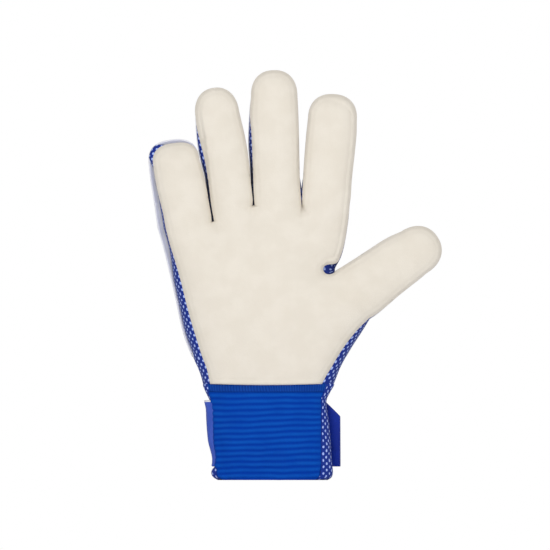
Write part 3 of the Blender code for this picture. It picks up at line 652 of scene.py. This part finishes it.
def attach(piece, zone, node):
    """Rides a piece on the hand. A digit's piece only has its transform baked in: the joint that its zone
    crosses is worked out, but nothing bends the piece across it.
    """
    if zone == "hand":
        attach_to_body(piece, "hand")
    else:
        name, part = zone.split("_")
        digit = DIGIT[name]
        if part == "base":
            body, low = "hand", (digit.low + digit.high) / 2
            high = low + digit.base_normal * 0.56 * digit.knuckle
        else:
            body = f"{name}_base"
            low, high = digit.point(0.66 * digit.knuckle, 0.0), digit.point(1.34 * digit.knuckle, 0.0)
        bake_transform(piece)
    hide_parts(node)
    return piece


# ---- gussets ----
# Scale of the mesh's flat coordinates on the side walls and on the cuff. Below 1, its dots are larger.
WALL_WEAVE, VENT_WEAVE = (0.82, 0.62), 0.84


def backhand_lip():
    """How far the backhand foam stands out beyond the side wall, along the edge. It shows as a pale lip along
    the little finger's side of the glove and over that finger's tip."""
    back = PATH["back"]
    x, height = back.T
    s, lateral = DIGIT["little"].local(back)
    hand, little = OWNER == "hand", OWNER == "little"
    beside_foam = mix(1.7, 3.9, smoothstep((height - 126) / 28))
    lip = np.where(hand & (x < -30), np.where(height > BACK_FOAM_Z, beside_foam, 0.1), 0.5)
    lip = np.where(little & (lateral < 0), mix(3.9, 3.2, smoothstep(s / 30)), lip)
    lip[little & (lateral < -9) & (s > 41.5)] = 0.3
    lip[little & (lateral > -9) & (s > 44)] = 3.0
    lip[hand & (x > 20)] = 0.2
    return np.convolve(np.pad(lip, 2, mode="edge"), np.ones(5) / 5, mode="valid")


def wall_bow():
    """How far the side wall bulges. The walls on both sides of a crotch meet, so no light falls through."""
    meeting = mix(1.3, 0.1, smoothstep((STATION - 9) / 14))
    return np.where(FACING & (STATION < 24), meeting, np.where(ON_FINGER, 0.1, 0.3))


def crotch_shade():
    """1 where the walls of two fingers meet at a crotch, falling to 0 further up: painted shade, which darkens
    the mesh there towards near black. The index finger's crotch is pale, and the notch at the root of the
    thumb gets painted shade in between."""
    shade = np.where(FACING, 1 - smoothstep((STATION - 14) / 26), 0.0)
    middle = np.flatnonzero(OWNER == "middle")
    shade[(middle[0] + middle[-1]) // 2 : LAST] = 0.0
    x, z = PATH["back"].T
    # painted shade in the notch at the root of the thumb
    shade[(OWNER == "hand") & (x > 20) & (np.abs(z - 139) < 4)] = 0.45
    return shade


def gusset_strip():
    """The side wall along the whole edge: rows of points from the palm latex to the backhand foam."""
    front, back = PATH["front"], PATH["back"]
    tangent = unit(np.roll(back, -1, axis=0) - np.roll(back, 1, axis=0))
    tangent[0], tangent[-1] = unit(back[1] - back[0]), unit(back[-1] - back[-2])
    inward = np.stack([tangent[:, 1], -tangent[:, 0]], 1)
    for _ in range(2):
        inward[1:-1] = unit(inward[:-2] + 2 * inward[1:-1] + inward[2:])
    rows = np.linspace(0, 1, 12)
    turn, wave = rows * math.pi / 2, np.sin(math.pi * rows)
    low, high = front + inward * 0.9, back + inward * backhand_lip()[:, None]
    spot = mix(low[:, None], high[:, None], np.sin(turn)[:, None])
    spot = spot - inward[:, None] * (wall_bow()[:, None] * wave)[..., None]
    top, bottom = half_side(front)[:, None], half_side(back)[:, None]
    depth = mix(0.1 - top, bottom - 0.1, mix(rows, 1 - np.cos(turn), 0.85))
    points = np.stack([spot[..., 0], depth, spot[..., 1]], 2)
    along = running_length(points)
    uv = np.stack([np.broadcast_to(running_length(back)[:, None], along.shape), along], 2)
    return points.reshape(-1, 3), uv.reshape(-1, 2), len(rows)


def gussets():
    """The side wall's pieces: two walls and a tip for each digit, the hand's two sides, and the crotches."""
    points, uv, rows = gusset_strip()
    quads, normals = outward_grid(points, len(OWNER), rows)
    strip = points, quads, normals, uv, np.repeat(crotch_shade(), rows)
    column = quads.min(1) // rows
    owner = np.where(OWNER[column] == OWNER[column + 1], OWNER[column], "hand")
    s = (STATION[column] + STATION[column + 1]) / 2
    where = points[quads].mean(1)
    for name, digit in DIGIT.items():
        mine, near = owner == name, digit.local(where[:, [0, 2]])[1] < 0
        base = mine & (s < digit.cut)
        for side, there, toward in (("near", near, "little"), ("far", ~near, "thumb")):
            node = f"{name}_base_gusset_{toward}_side"
            gusset_piece(f"{name}_base_{side}", base & there, strip, f"{name}_base", node)
        gusset_piece(f"{name}_tip", mine & (s >= digit.cut), strip, f"{name}_tip", f"{name}_tip_gusset")
    rest = owner == "hand"
    low = rest & (where[:, 0] < -50) | rest & (where[:, 2] < 100) & (where[:, 0] < 0)
    thumb = rest & (where[:, 0] > 20) & (where[:, 2] < 112)
    gusset_piece("little_side", low, strip, "hand", "little_side_gusset")
    gusset_piece("thumb_side", thumb, strip, "hand", "thumb_side_gusset")
    gusset_piece("crotches", rest & ~low & ~thumb, strip, "hand", "thumb_crotch_gusset")


def gusset_piece(label, keep, strip, zone, node):
    points, quads, normals, uv, shade = strip
    got, faces, got_uv, got_normals, got_shade = take(keep, points, quads, uv, normals, shade)
    solid, all_faces, flags = thick(got, faces, got_normals, 1.0)
    both_uv = np.vstack([got_uv, got_uv]) * WALL_WEAVE
    both_normals = np.vstack([got_normals, -got_normals])
    piece = make_piece(f"{label}_mesh", solid, all_faces, "mesh", both_uv, both_normals, flags)
    mark_points(piece, np.tile(got_shade, 2))
    attach(piece, zone, node)
    cloth_sheet(got, faces, got_uv)


# ---- cuff ----
def cuff_point(angle, z, outward):
    """Points of the cuff's oval, for arrays of angles in degrees and heights, moved outward."""
    a = np.radians(angle)
    cosine, sine = np.cos(a), np.sin(a)
    tables = [CUFF_NEAR, CUFF_FAR, CUFF_FRONT, CUFF_BACK]
    near, far, front, back = (smooth_curve(z, np.stack([CUFF_LEVELS, t], 1)) for t in tables)
    x = (np.where(cosine > 0, far, near) + outward) * signed_power(cosine, 2 / CUFF_POWER)
    y = (np.where(sine > 0, back, front) + outward) * signed_power(sine, 2 / CUFF_POWER)
    return np.stack([x, y, z + 0 * x], -1)


def seam_angle(seam, z):
    table = np.array(seam, float)
    return np.interp(z, table[:, 0], table[:, 1])


def cuff_sheet(
    name, seams, levels, steps, lift, thickness, material, node=None
):
    """A sheet of the cuff wall between two seams, each moved round by some degrees. lift takes the distance
    from the sheet's middle and the height, and gives how far the face stands out and the material's mark."""
    heights = np.linspace(*levels, max(2, round((levels[1] - levels[0]) / steps[1]) + 1))
    start, end = (seam_angle(seam, heights)[:, None] + shift for seam, shift in seams)
    fine = np.linspace(0, 1, 500)
    line = cuff_point(mix(start.mean(), end.mean(), fine), np.full(500, 30.0), 0.0)
    reach = running_length(line)
    share = np.interp(np.linspace(0, reach[-1], round(reach[-1] / steps[0]) + 1), reach, fine)
    a = mix(start, end, share[None])
    z = np.broadcast_to(heights[:, None], a.shape)
    across = np.broadcast_to(np.interp(share, fine, reach) - reach[-1] / 2, a.shape)
    rise, mark = lift(across, z)
    rise = rise - 4.0 * smoothstep((z - WRIST_Z + 0.6) / 3.0)  # tucked under the foam
    points = cuff_point(a, z, rise).reshape(-1, 3)
    quads, normals = outward_grid(points, len(heights), len(share))
    uv, weave = np.stack([across.ravel(), z.ravel()], 1), 1.0
    if material == "mesh":
        uv, weave = uv[:, ::-1], VENT_WEAVE  # its rows of dots run up the cuff
    solid, faces, flags = thick(points, quads, normals, thickness)
    piece = make_piece(name, solid, faces, material, np.vstack([uv, uv]) * weave, None, flags)
    mark_points(piece, np.tile(np.broadcast_to(mark, a.shape).ravel(), 2))
    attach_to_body(piece, "hand")
    if node:
        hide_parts(node)
    if material != "elastic_band":  # that one belongs to the ribs' sheet
        cloth_sheet(points, quads, uv)
    return piece


def ribs(x, z):
    """Height of the elastic's ribs, which waver and slope a little, and fade out at the stitched band, and the
    mark that paints light on their crests and shade between them.
    """
    slope = 2.5 * np.sin(math.pi * np.clip(z / 58, 0, 1)) * x / 64
    waver = 0.22 * np.sin(x / 8.3 + z / 13.0) + 0.12 * np.sin(x / 3.1 - z / 5.0)
    phase = (z - 4.55 - slope + waver) / RIB_PITCH
    crest = (0.5 - 0.5 * np.cos(2 * math.pi * phase)) ** 0.8
    fade = smoothstep((WRIST_Z - ELASTIC_BAND - z) / 1.0) * smoothstep((z + 0.4) / 1.2)
    puff = 0.4 * np.sin(math.pi * np.clip(z / 57, 0, 1))
    edge = mix(1.5, 0.9, smoothstep((z - 12) / 30)) * smoothstep((-30.0 - x) / 5)
    fade = fade * mix(0.12, 1.0, smoothstep((37.5 - np.abs(x)) / 5))
    return RIB_HEIGHT * crest * fade + puff + edge, mix(0.35, crest, fade)


def band_stitches(x, z):
    """The overlocked band: fine upright stitches that pull the elastic in. The mark paints light on the
    stitches and shade along the line at the band's foot.
    """
    stitch = 0.5 + 0.5 * np.cos(2 * math.pi * x / 1.6)
    row = smoothstep((z - (WRIST_Z - ELASTIC_BAND) - 0.2) / 0.8)
    line = np.exp(-(((z - WRIST_Z + ELASTIC_BAND) / 0.5) ** 2))
    return 0.12 + 0.2 * stitch * row - 0.2 * line, 0.55 * stitch * row + 0.2 * (1 - line)


def vent(x, z):
    """Gentle waves in the cuff's mesh."""
    return 0.2 + 0.25 * np.sin(z / 9.0 + 1.0) + 0.1 * np.sin(z / 3.7 + x / 2.0), 0.0


def cuff():
    """Ribbed elastic over the palm side with its stitched band, and mesh over the back and both sides."""
    band, tucked = WRIST_Z - ELASTIC_BAND, WRIST_Z + 2.5
    front = (SEAM_LITTLE, 0.0), (SEAM_THUMB, 0.0)
    overlock = cuff_sheet("wrist_elastic_band", front, (band, tucked), (0.32, 0.5), band_stitches, 1.5,
                          "elastic_band", None)
    cuff_sheet("wrist_elastic_ribs", front, (0.0, band), (0.9, 0.36), ribs, 1.7, "elastic", "wrist_elastic")
    thumb_side = (SEAM_THUMB, 0.3), (SEAM_BACK_THUMB, 0.0)
    back = (SEAM_BACK_THUMB, 0.0), (SEAM_BACK_LITTLE, 0.0)
    little_side = (SEAM_BACK_LITTLE, -360.0), (SEAM_LITTLE, -0.3)
    for name, seams, top, step, thickness, node in (
        ("cuff_vent_thumb_side", thumb_side, tucked, 0.9, 1.1, "cuff_mesh_thumb_side"),
        ("cuff_back", back, WRIST_Z + 6, 1.4, 1.3, "cuff_back_panel"),
        ("cuff_vent_little_side", little_side, tucked, 0.9, 1.1, "cuff_mesh_little_side"),
    ):
        cuff_sheet(name, seams, (0.0, top), (step, step), vent, thickness, "mesh", node)


def hand_back_mesh():
    """The mesh between the cuff and the backhand foam, which tucks under both."""
    rows, columns = 14, 60
    z = np.repeat(np.linspace(WRIST_Z - 1.5, BACK_FOAM_Z + 3, rows), columns)
    edges = [np.array(edge["back"]) for edge in (LITTLE_EDGE, THUMB_EDGE)]
    left, right = (np.interp(z, edge[:, 1], edge[:, 0]) for edge in edges)
    left, right = left + 0.4, right - 0.4
    x = mix(left, right, np.tile(np.linspace(0, 1, columns), rows))
    uv = np.stack([x, z], 1)
    middle = slab_heights(uv, "back", SIDES["back"])[0]
    side = np.minimum(x - left, right - x)
    y = mix(half_side(uv) - 0.1, middle - 1.6, smoothstep(side / 7) ** 0.5)
    points = np.stack([x, y, z], 1)
    quads, normals = outward_grid(points, rows, columns)
    solid, faces, flags = thick(points, quads, normals, 1.1)
    piece = make_piece("hand_back_mesh_panel", solid, faces, "mesh", np.vstack([uv, uv]), None, flags)
    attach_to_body(piece, "hand")
    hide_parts("hand_back_mesh")
    cloth_sheet(points, quads, uv)


# ---- strap ----
SEWN_POINTS, OVER_POINTS, FREE_POINTS = 40, 80, 24
HINGE_PLACE, GRIP_PLACE = SEWN_POINTS - 1, SEWN_POINTS + OVER_POINTS - 2  # last points of the first two runs
STANDS_OFF = 3.7  # from the cuff to the strap's middle
STRAP_LINES = {}


def strap_line(z):
    """The strap's run at one height, kept for the next time it is asked for."""
    key = round(float(z), 2)
    if key not in STRAP_LINES:
        STRAP_LINES[key] = strap_run(key)
    return STRAP_LINES[key]


def strap_run(z):
    """The strap's run at one height: from the palm-side seam round the little-finger side and across the back
    to the free end. It stands off the cuff more at its top than at its bottom on the side."""
    lean = float(smooth_curve(z, [(9, 1.9), (19.5, 3.0), (32.5, 3.8), (51.5, 3.4)]))
    first = float(seam_angle(SEAM_LITTLE, 26.0)) + 3.0
    sewn = cuff_point(np.linspace(first, STRAP_HINGE, SEWN_POINTS), np.full(SEWN_POINTS, z), 0.0)
    over = cuff_point(np.linspace(STRAP_HINGE, STRAP_LEAVES, OVER_POINTS), np.full(OVER_POINTS, z), 0.0)
    away = mix(0.2, lean, smoothstep(np.linspace(0, 2.2, SEWN_POINTS)))
    away = mix(away, STANDS_OFF, smoothstep(np.linspace(-1.2, 1, SEWN_POINTS)))
    sewn = sewn + unit(sewn * (1.0, 1.6, 0.0)) * away[:, None]
    begin, out = unit(over[0] * (1.0, 1.6, 0.0)), unit(over * (0.35, 1.6, 0.0))
    turn = smoothstep(np.linspace(0, 4, OVER_POINTS))[:, None]
    over = over + unit(mix(begin, out, turn)) * STANDS_OFF
    t = np.linspace(0, 1, FREE_POINTS)[1:, None]
    bend = over[-1] + unit(over[-1] - over[-2]) * 6.0
    free = (1 - t) ** 2 * over[-1] + 2 * t * (1 - t) * bend + t**2 * np.array([*TAB_END, z])
    return np.vstack([sewn, over[1:], free])


def strap_top(line):
    """The strap's upper edge, cut away at its free end. The slope starts where the end clears the cuff."""
    beyond = np.clip((line[:, 0] - CLEARS_CUFF) / (TAB_END[0] - CLEARS_CUFF), 0, 1)
    late = np.arange(len(line)) > GRIP_PLACE
    return STRAP_TOP + late * (0.5 - (TAB_CHAMFER + 0.5) * beyond)


def strap_piece(name, first, last, material):
    """A length of the strap with rounded edges."""
    base = strap_line(30.0)
    half, top, height = STRAP_THICK / 2, strap_top(base), STRAP_TOP - STRAP_BOTTOM
    shares = np.concatenate([[0.0, 0.35, 1.0], np.linspace(2.2, 40.5, 14), [42.0, 42.8, height]]) / height
    loops = []
    for k in range(first, last + 1):
        outer, inner = [], []
        for z in mix(STRAP_BOTTOM, top[k], shares):
            before, here, after = (strap_line(z)[j] for j in (max(k - 1, 0), k, min(k + 1, len(base) - 1)))
            tangent = unit(after - before)
            normal = np.array([tangent[1], -tangent[0], 0.0])
            if normal @ np.array([here[0] * 0.3, here[1] + 6.0, 0.0]) < 0:
                normal = -normal
            depth = min(z - STRAP_BOTTOM, top[k] - z)
            full = half * math.sqrt(max(1 - max(1 - depth, 0.0) ** 2, 0.04))
            outer.append(here + normal * full)
            inner.append(here - normal * full)
        loops.append(outer + inner[::-1])
    points = np.array(loops).reshape(-1, 3)
    ring = len(loops[0])
    faces = [tuple(q) for q in grid_quads(len(loops), ring, wrap=True)]
    faces += [tuple(range(ring)), tuple(range(len(points) - ring, len(points)))[::-1]]
    reach = running_length(base)[first : last + 1]
    uv = np.stack([np.repeat(reach, ring), points[:, 2]], 1)
    return make_piece(name, points, faces, material, uv)


def fix_normals(piece):
    """Turns a closed piece's faces outward."""
    bm = bmesh.new()
    bm.from_mesh(piece.data)
    bmesh.ops.recalc_face_normals(bm, faces=bm.faces)
    bm.to_mesh(piece.data)
    bm.free()


def strap():
    """The strap's sewn end, its wrap across the back and its free grip tab, and the hook and loop's colour."""
    base, hinge, grip = strap_line(30.0) * MM, HINGE_PLACE, GRIP_PLACE
    sewn = strap_piece("strap_sewn_end", 0, hinge, "strap_side")
    # the top rows of the sewn end take the pale foam's colour: a painted highlight along the strap's top edge
    heights = np.array([p.center[2] for p in sewn.data.polygons])
    sewn.data.materials.append(MATERIAL["back_foam"])
    sewn.data.polygons.foreach_set("material_index", (heights > (STRAP_TOP - 1.3) * MM).astype(np.int32))
    band = strap_piece("strap_wrap", hinge, grip, "strap")
    tab = strap_piece("strap_grip_tab", grip, len(base) - 1, "strap")
    for piece in (sewn, band, tab):
        fix_normals(piece)
        piece.data.set_sharp_from_angle(angle=math.radians(50))
    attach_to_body(sewn, "hand")
    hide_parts("strap_anchor")
    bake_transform(band)
    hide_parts("strap_band")
    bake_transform(tab)
    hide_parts("strap_end_tab")
    for name in ("loop_patch", "hook_patch"):
        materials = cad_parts[name].data.materials
        materials.clear()
        materials.append(MATERIAL["hook_loop"])


# ---- stitches ----
STITCH_RADIUS = 0.32


def stitches(name, line, outward, length, gap):
    """A row of stitches along a line of points (millimetres), each a short thread that dips at both ends."""
    reach = running_length(line)
    along, turn = np.linspace(0, length, 6), np.linspace(0, 2 * math.pi, 6, endpoint=False)[:, None]
    arch = np.sin(math.pi * along / length)
    lift, radius = STITCH_RADIUS * (1.2 * arch - 0.5), STITCH_RADIUS * (0.45 + 0.55 * arch)
    count, tube = len(turn), grid_quads(len(along), len(turn), wrap=True)
    points, faces = [], []
    for start in np.arange(gap / 2, reach[-1] - length, length + gap):
        place = spots_along(line, reach, start + along)
        out = unit(spots_along(outward, reach, start + along))
        side = unit(np.cross(unit(np.gradient(place, axis=0)), out))
        ring = side[:, None] * np.cos(turn) + out[:, None] * np.sin(turn)
        first = len(points) * count * len(along)
        points.append((place + out * lift[:, None])[:, None] + ring * radius[:, None, None])
        last = first + count * len(along)
        faces += [tuple(q + first) for q in tube]
        faces += [tuple(range(first, first + count))[::-1], tuple(range(last - count, last))]
    piece = make_piece(name, np.array(points).reshape(-1, 3), faces, "thread")
    fix_normals(piece)
    return piece


def surface_line(piece, line, outside):
    """Drops points of the XZ plane onto a foam piece's outer face. Returns the places and their normals."""
    bpy.context.view_layer.update()
    places, normals = [], []
    for x, z in line:
        origin = Vector((x * MM, outside * 0.1, z * MM))
        hit, place, normal, _ = piece.ray_cast(origin, Vector((0, -outside, 0)))
        if hit:
            places.append(np.array(place) / MM)
            normals.append(np.array(normal))
    return np.array(places), np.array(normals)


def back_stitches(back):
    """Pale blue thread round the lower part of the backhand, and along the strap."""
    x = np.linspace(-46.0, 48.0, 200)
    z = BACK_FOAM_Z + 3.4 - 3.0 * np.sin(math.pi * np.clip((x + 49) / 100, 0, 1))
    places, normals = surface_line(back["hand"], np.stack([x, z], 1), 1)
    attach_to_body(stitches("backhand_hem_stitches", places, normals, 2.6, 1.1), "hand")
    wrap = slice(HINGE_PLACE, GRIP_PLACE)
    line = strap_line(30.0)[wrap]
    run, behind = unit(np.gradient(line, axis=0)), line[:, 0] > -25
    out = np.stack([run[:, 1], -run[:, 0], 0 * run[:, 0]], 1)
    inward = np.where(behind, out[:, 1] < 0, out[:, 0] > 0)
    out = np.where(inward[:, None], -out, out)
    for label, z in (("upper", STRAP_TOP - 3.0), ("lower", STRAP_BOTTOM + 3.0)):
        line = strap_line(z)[wrap] + out * STRAP_THICK / 2
        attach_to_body(stitches(f"strap_{label}_stitches", line[16:], out[16:], 2.8, 1.2), "strap")


# ---- materials ----
class Nodes:
    """A material's node tree, with short ways to add and join nodes."""

    def __init__(self, name):
        self.name, self.material = name, bpy.data.materials.new(name)
        self.material.use_nodes = True
        self.tree = self.material.node_tree
        self.shader = self.tree.nodes["Principled BSDF"]

    def add(self, kind, inputs=(), **settings):
        node = self.tree.nodes.new("ShaderNode" + kind)
        for key, value in settings.items():
            setattr(node, key, value)
        for key, value in dict(inputs).items():
            self.put(node.inputs[key], value)
        return node

    def put(self, socket, value):
        if isinstance(value, bpy.types.NodeSocket):
            self.tree.links.new(value, socket)
        else:
            socket.default_value = value

    def math(self, operation, a, b=0.0):
        return self.add("Math", {0: a, 1: b}, operation=operation).outputs[0]

    def vector(self, operation, a, b):
        second = 3 if operation == "SCALE" else 1
        return self.add("VectorMath", {0: a, second: b}, operation=operation).outputs[0]

    def blend(self, a, share_a, b, share_b):
        return self.math("ADD", self.math("MULTIPLY", a, share_a), self.math("MULTIPLY", b, share_b))

    def from_middle(self, value):
        """How far a value is from the middle of its whole step, from 0 to 0.5."""
        part = self.math("FRACT", self.math("ADD", value, 500.0))
        return self.math("ABSOLUTE", self.math("SUBTRACT", part, 0.5))

    def mark(self):
        return self.add("Attribute", attribute_name="mark").outputs[2]

    def ramp(self, value, low, high, start=0.0, end=1.0):
        """The value mapped from low..high to start..end, smoothly."""
        inputs = {"Value": value, "From Min": low, "From Max": high, "To Min": start, "To Max": end}
        return self.add("MapRange", inputs, interpolation_type="SMOOTHSTEP").outputs[0]

    def colours(self, share, a, b):
        node = self.add("Mix", data_type="RGBA")
        self.put(node.inputs["Factor"], share)
        for socket, colour in ((6, a), (7, b)):
            self.put(node.inputs[socket], (*colour, 1.0) if isinstance(colour, tuple) else colour)
        return node.outputs[2]

    def cloth_mm(self):
        """The piece's own flat coordinates in millimetres."""
        return self.vector("SCALE", self.add("UVMap", uv_map="cloth").outputs[0], 100.0)

    def noise(self, vector, size, detail=2.0, rough=0.5):
        inputs = {"Vector": vector, "Scale": 1.0 / size, "Detail": detail, "Roughness": rough}
        return self.add("TexNoise", inputs).outputs[0]

    def bump(self, height, distance_mm, strength):
        inputs = {"Height": height, "Distance": distance_mm * MM, "Strength": strength}
        return self.add("Bump", inputs).outputs[0]

    def finish(self, colour, roughness, normal=None, sheen=0.0, specular=0.3):
        self.put(self.shader.inputs["Base Color"], (*colour, 1.0) if isinstance(colour, tuple) else colour)
        self.put(self.shader.inputs["Roughness"], roughness)
        if normal is not None:
            self.put(self.shader.inputs["Normal"], normal)
        self.shader.inputs["Sheen Weight"].default_value = sheen
        self.shader.inputs["Sheen Roughness"].default_value = 0.5
        self.shader.inputs["Specular IOR Level"].default_value = specular
        MATERIAL[self.name] = self.material


MATERIAL = {}


def latex_material():
    """Cream latex foam: a fine open grain, faint mottling and slightly rubbed patches."""
    n = Nodes("latex")
    mm = n.cloth_mm()
    grain = n.noise(mm, 0.45, 3.0, 0.6)
    pores = n.add("TexVoronoi", {"Vector": mm, "Scale": 1 / 0.8}, feature="F1").outputs[0]
    mottle = n.noise(mm, 14.0, 3.0)
    rubbed = n.noise(mm, 38.0)
    colour = n.colours(n.ramp(mottle, 0.35, 0.68), (0.745, 0.690, 0.600), (0.775, 0.722, 0.635))
    colour = n.colours(n.ramp(rubbed, 0.52, 0.75, 0.0, 0.35), colour, (0.715, 0.655, 0.555))
    colour = n.colours(n.ramp(pores, 0.0, 0.35, 0.15, 0.0), colour, (0.62, 0.56, 0.47))
    normal = n.bump(n.blend(grain, 0.6, pores, 0.5), 0.12, 0.55)
    n.finish(colour, n.ramp(mottle, 0.3, 0.7, 0.68, 0.82), normal, 0.08, 0.25)


def back_foam_material():
    """Pale lavender-white foam film with a faint grain, greyer where it is rubbed."""
    n = Nodes("back_foam")
    mm = n.cloth_mm()
    mottle = n.noise(mm, 12.0, 3.0)
    grain = n.noise(mm, 0.6, 3.0, 0.6)
    colour = n.colours(n.ramp(mottle, 0.35, 0.7), (0.80, 0.80, 0.86), (0.86, 0.86, 0.90))
    colour = n.colours(n.ramp(n.mark(), 0.35, 0.75), colour, (0.012, 0.075, 0.42))
    n.finish(colour, n.ramp(mottle, 0.3, 0.7, 0.42, 0.58), n.bump(grain, 0.08, 0.4), 0.05, 0.4)


DOT_PITCH = (3.6, 1.9)  # millimetres, along a row of dots and from row to row


def mesh_material():
    """Navy spacer mesh: pale staggered ovals between darker threads, with painted shade towards near black
    where the mark is high.
    """
    n = Nodes("mesh")
    mm = n.cloth_mm()
    drift = n.vector("SUBTRACT", n.add("TexNoise", {"Vector": mm, "Scale": 0.25}).outputs[1], (0.5, 0.5, 0.5))
    place = n.add("SeparateXYZ", {0: n.vector("ADD", mm, n.vector("SCALE", drift, 1.6))})
    u, v = n.math("DIVIDE", place.outputs[0], DOT_PITCH[0]), n.math("DIVIDE", place.outputs[1], DOT_PITCH[1])
    row = n.math("ABSOLUTE", n.math("FLOOR", v))
    shift = n.math("MULTIPLY", n.math("MODULO", row, 2.0), 0.5)
    across, up = n.from_middle(n.math("ADD", u, shift)), n.from_middle(v)
    far = [n.math("POWER", n.math("DIVIDE", side, half), 2.0) for side, half in ((across, 0.22), (up, 0.29))]
    dot = n.ramp(n.math("ADD", *far), 0.55, 1.25, 1.0, 0.0)
    thread = n.noise(mm, 0.35)
    ground = n.colours(thread, (0.003, 0.012, 0.14), (0.014, 0.050, 0.40))
    pale = n.colours(n.noise(mm, 0.9, 1.0), (0.28, 0.40, 1.0), (0.58, 0.70, 1.0))
    colour = n.colours(dot, ground, pale)
    # painted shade: the mark from the crotches and the thumb's notch darkens the mesh towards near black
    colour = n.colours(n.math("MULTIPLY", n.mark(), 0.9), colour, (0.010, 0.012, 0.030))
    n.finish(colour, 0.75, n.bump(n.blend(thread, 0.3, dot, 0.8), 0.35, 0.8), 0.05, 0.15)


def elastic_material(name, crest, groove, upright):
    """Royal blue elastic with fine upright threads, with painted shade between its ribs and painted light on
    their crests.
    """
    n = Nodes(name)
    mm = n.cloth_mm()
    wave = n.math("MULTIPLY", n.add("SeparateXYZ", {0: mm}).outputs[0], 2 * math.pi / upright)
    thread = n.math("ADD", n.math("MULTIPLY", n.math("SINE", wave), 0.5), 0.5)
    fuzz = n.noise(mm, 0.5, 3.0, 0.6)
    # the mark paints light on the crests (crest colour) and shade in the grooves (groove colour); the noise
    # patches below are random tone
    level = n.blend(n.blend(thread, 0.35, fuzz, 0.65), 0.45, n.mark(), 0.6)
    colour = n.colours(n.ramp(level, 0.1, 1.0), groove, crest)
    colour = n.colours(n.ramp(n.noise(mm, 16.0), 0.3, 0.75, 0.0, 0.35), colour, groove)
    n.finish(colour, 0.8, n.bump(n.blend(thread, 0.5, fuzz, 0.5), 0.16, 0.6), 0.0, 0.05)


def strap_material(name, dark, light):
    """Smooth blue laminate with a fine woven face."""
    n = Nodes(name)
    mm = n.cloth_mm()
    inputs = {"Vector": mm, "Scale": 1.6, "Distortion": 0.4}
    weave = n.add("TexWave", inputs, bands_direction="DIAGONAL").outputs[1]
    patch = n.noise(mm, 18.0)
    colour = n.colours(n.ramp(patch, 0.3, 0.75), dark, light)
    n.finish(colour, n.ramp(patch, 0.3, 0.7, 0.5, 0.62), n.bump(weave, 0.06, 0.4), 0.02, 0.2)


def hook_loop_material():
    n = Nodes("hook_loop")
    mm = n.vector("SCALE", n.add("TexCoord").outputs[3], 1000.0)
    fuzz = n.noise(mm, 0.5, 3.0, 0.7)
    colour = n.colours(fuzz, (0.003, 0.006, 0.05), (0.012, 0.02, 0.13))
    n.finish(colour, 0.95, n.bump(fuzz, 0.4, 0.8), 0.06, 0.1)


def lining_material():
    n = Nodes("lining")
    knit = n.noise(n.cloth_mm(), 0.7)
    colour = n.colours(knit, (0.62, 0.62, 0.64), (0.78, 0.78, 0.80))
    n.finish(colour, 0.9, n.bump(knit, 0.2, 0.6), 0.3, 0.2)


def make_materials():
    latex_material()
    back_foam_material()
    mesh_material()
    # crest and groove colours: lit and shaded copies of one blue, painted light and shade
    elastic_material("elastic", (0.003, 0.088, 0.47), (0.0, 0.036, 0.33), 0.8)
    elastic_material("elastic_band", (0.010, 0.080, 0.42), (0.002, 0.030, 0.22), 1.6)
    strap_material("strap", (0.0003, 0.014, 0.22), (0.0008, 0.024, 0.32))
    strap_material("strap_side", (0.035, 0.085, 0.47), (0.055, 0.115, 0.56))
    hook_loop_material()
    lining_material()
    Nodes("thread").finish((0.16, 0.27, 0.75), 0.6)


# ---- studio ----
def camera():
    """Square on to the palm. The view is flat, as through a long lens: 357 mm across."""
    data = bpy.data.cameras.new("camera")
    data.type = "ORTHO"
    data.ortho_scale = 0.3575
    data.clip_end = 20.0
    made = placed("camera", data, (0.0039, -1.6, 0.1333))
    made.rotation_euler = (math.pi / 2, 0, 0)
    bpy.context.scene.camera = made


def area_light(name, place, size, power):
    """A round light that points at the middle of the glove."""
    data = bpy.data.lights.new(name, "AREA")
    data.energy, data.size, data.shape = power, size, "DISK"
    aim = Vector((0.0, 0.0, 0.13)) - Vector(place)
    placed(name, data, place).rotation_euler = aim.to_track_quat("-Z", "Y").to_euler()


def studio():
    """A white room: the camera sees pure white, and the glove is lit by half as much and by three lamps."""
    scene = bpy.context.scene
    scene.view_settings.view_transform = "Standard"
    world = bpy.data.worlds.new("studio")
    world.use_nodes = True
    scene.world = world
    tree = world.node_tree
    back = tree.nodes["Background"]
    back.inputs["Color"].default_value = (1.0, 1.0, 1.0, 1.0)
    rays = tree.nodes.new("ShaderNodeLightPath")
    level = tree.nodes.new("ShaderNodeMapRange")
    level.inputs["To Min"].default_value = 0.5
    level.inputs["To Max"].default_value = 1.0
    tree.links.new(rays.outputs["Is Camera Ray"], level.inputs["Value"])
    tree.links.new(level.outputs[0], back.inputs["Strength"])
    area_light("key", (-0.22, -2.0, 0.5), 1.1, 19.5)
    area_light("fill", (0.6, -1.8, 0.1), 1.2, 5.5)
    area_light("rim", (0.3, 1.5, 0.7), 1.0, 8.0)
    Nodes("floor").finish((0.86, 0.86, 0.87), 0.7)
    mesh = bpy.data.meshes.new("floor")
    mesh.from_pydata([(-3.0, -3.0, 0), (3.0, -3.0, 0), (3.0, 3.0, 0), (-3.0, 3.0, 0)], [], [(0, 1, 2, 3)])
    mesh.materials.append(MATERIAL["floor"])
    placed("floor", mesh, (0.0, 0.0, -0.0006))


camera()
make_materials()
foam_panel("front")
back_pieces = foam_panel("back")
gussets()
cuff()
hand_back_mesh()
strap()
back_stitches(back_pieces)
studio()
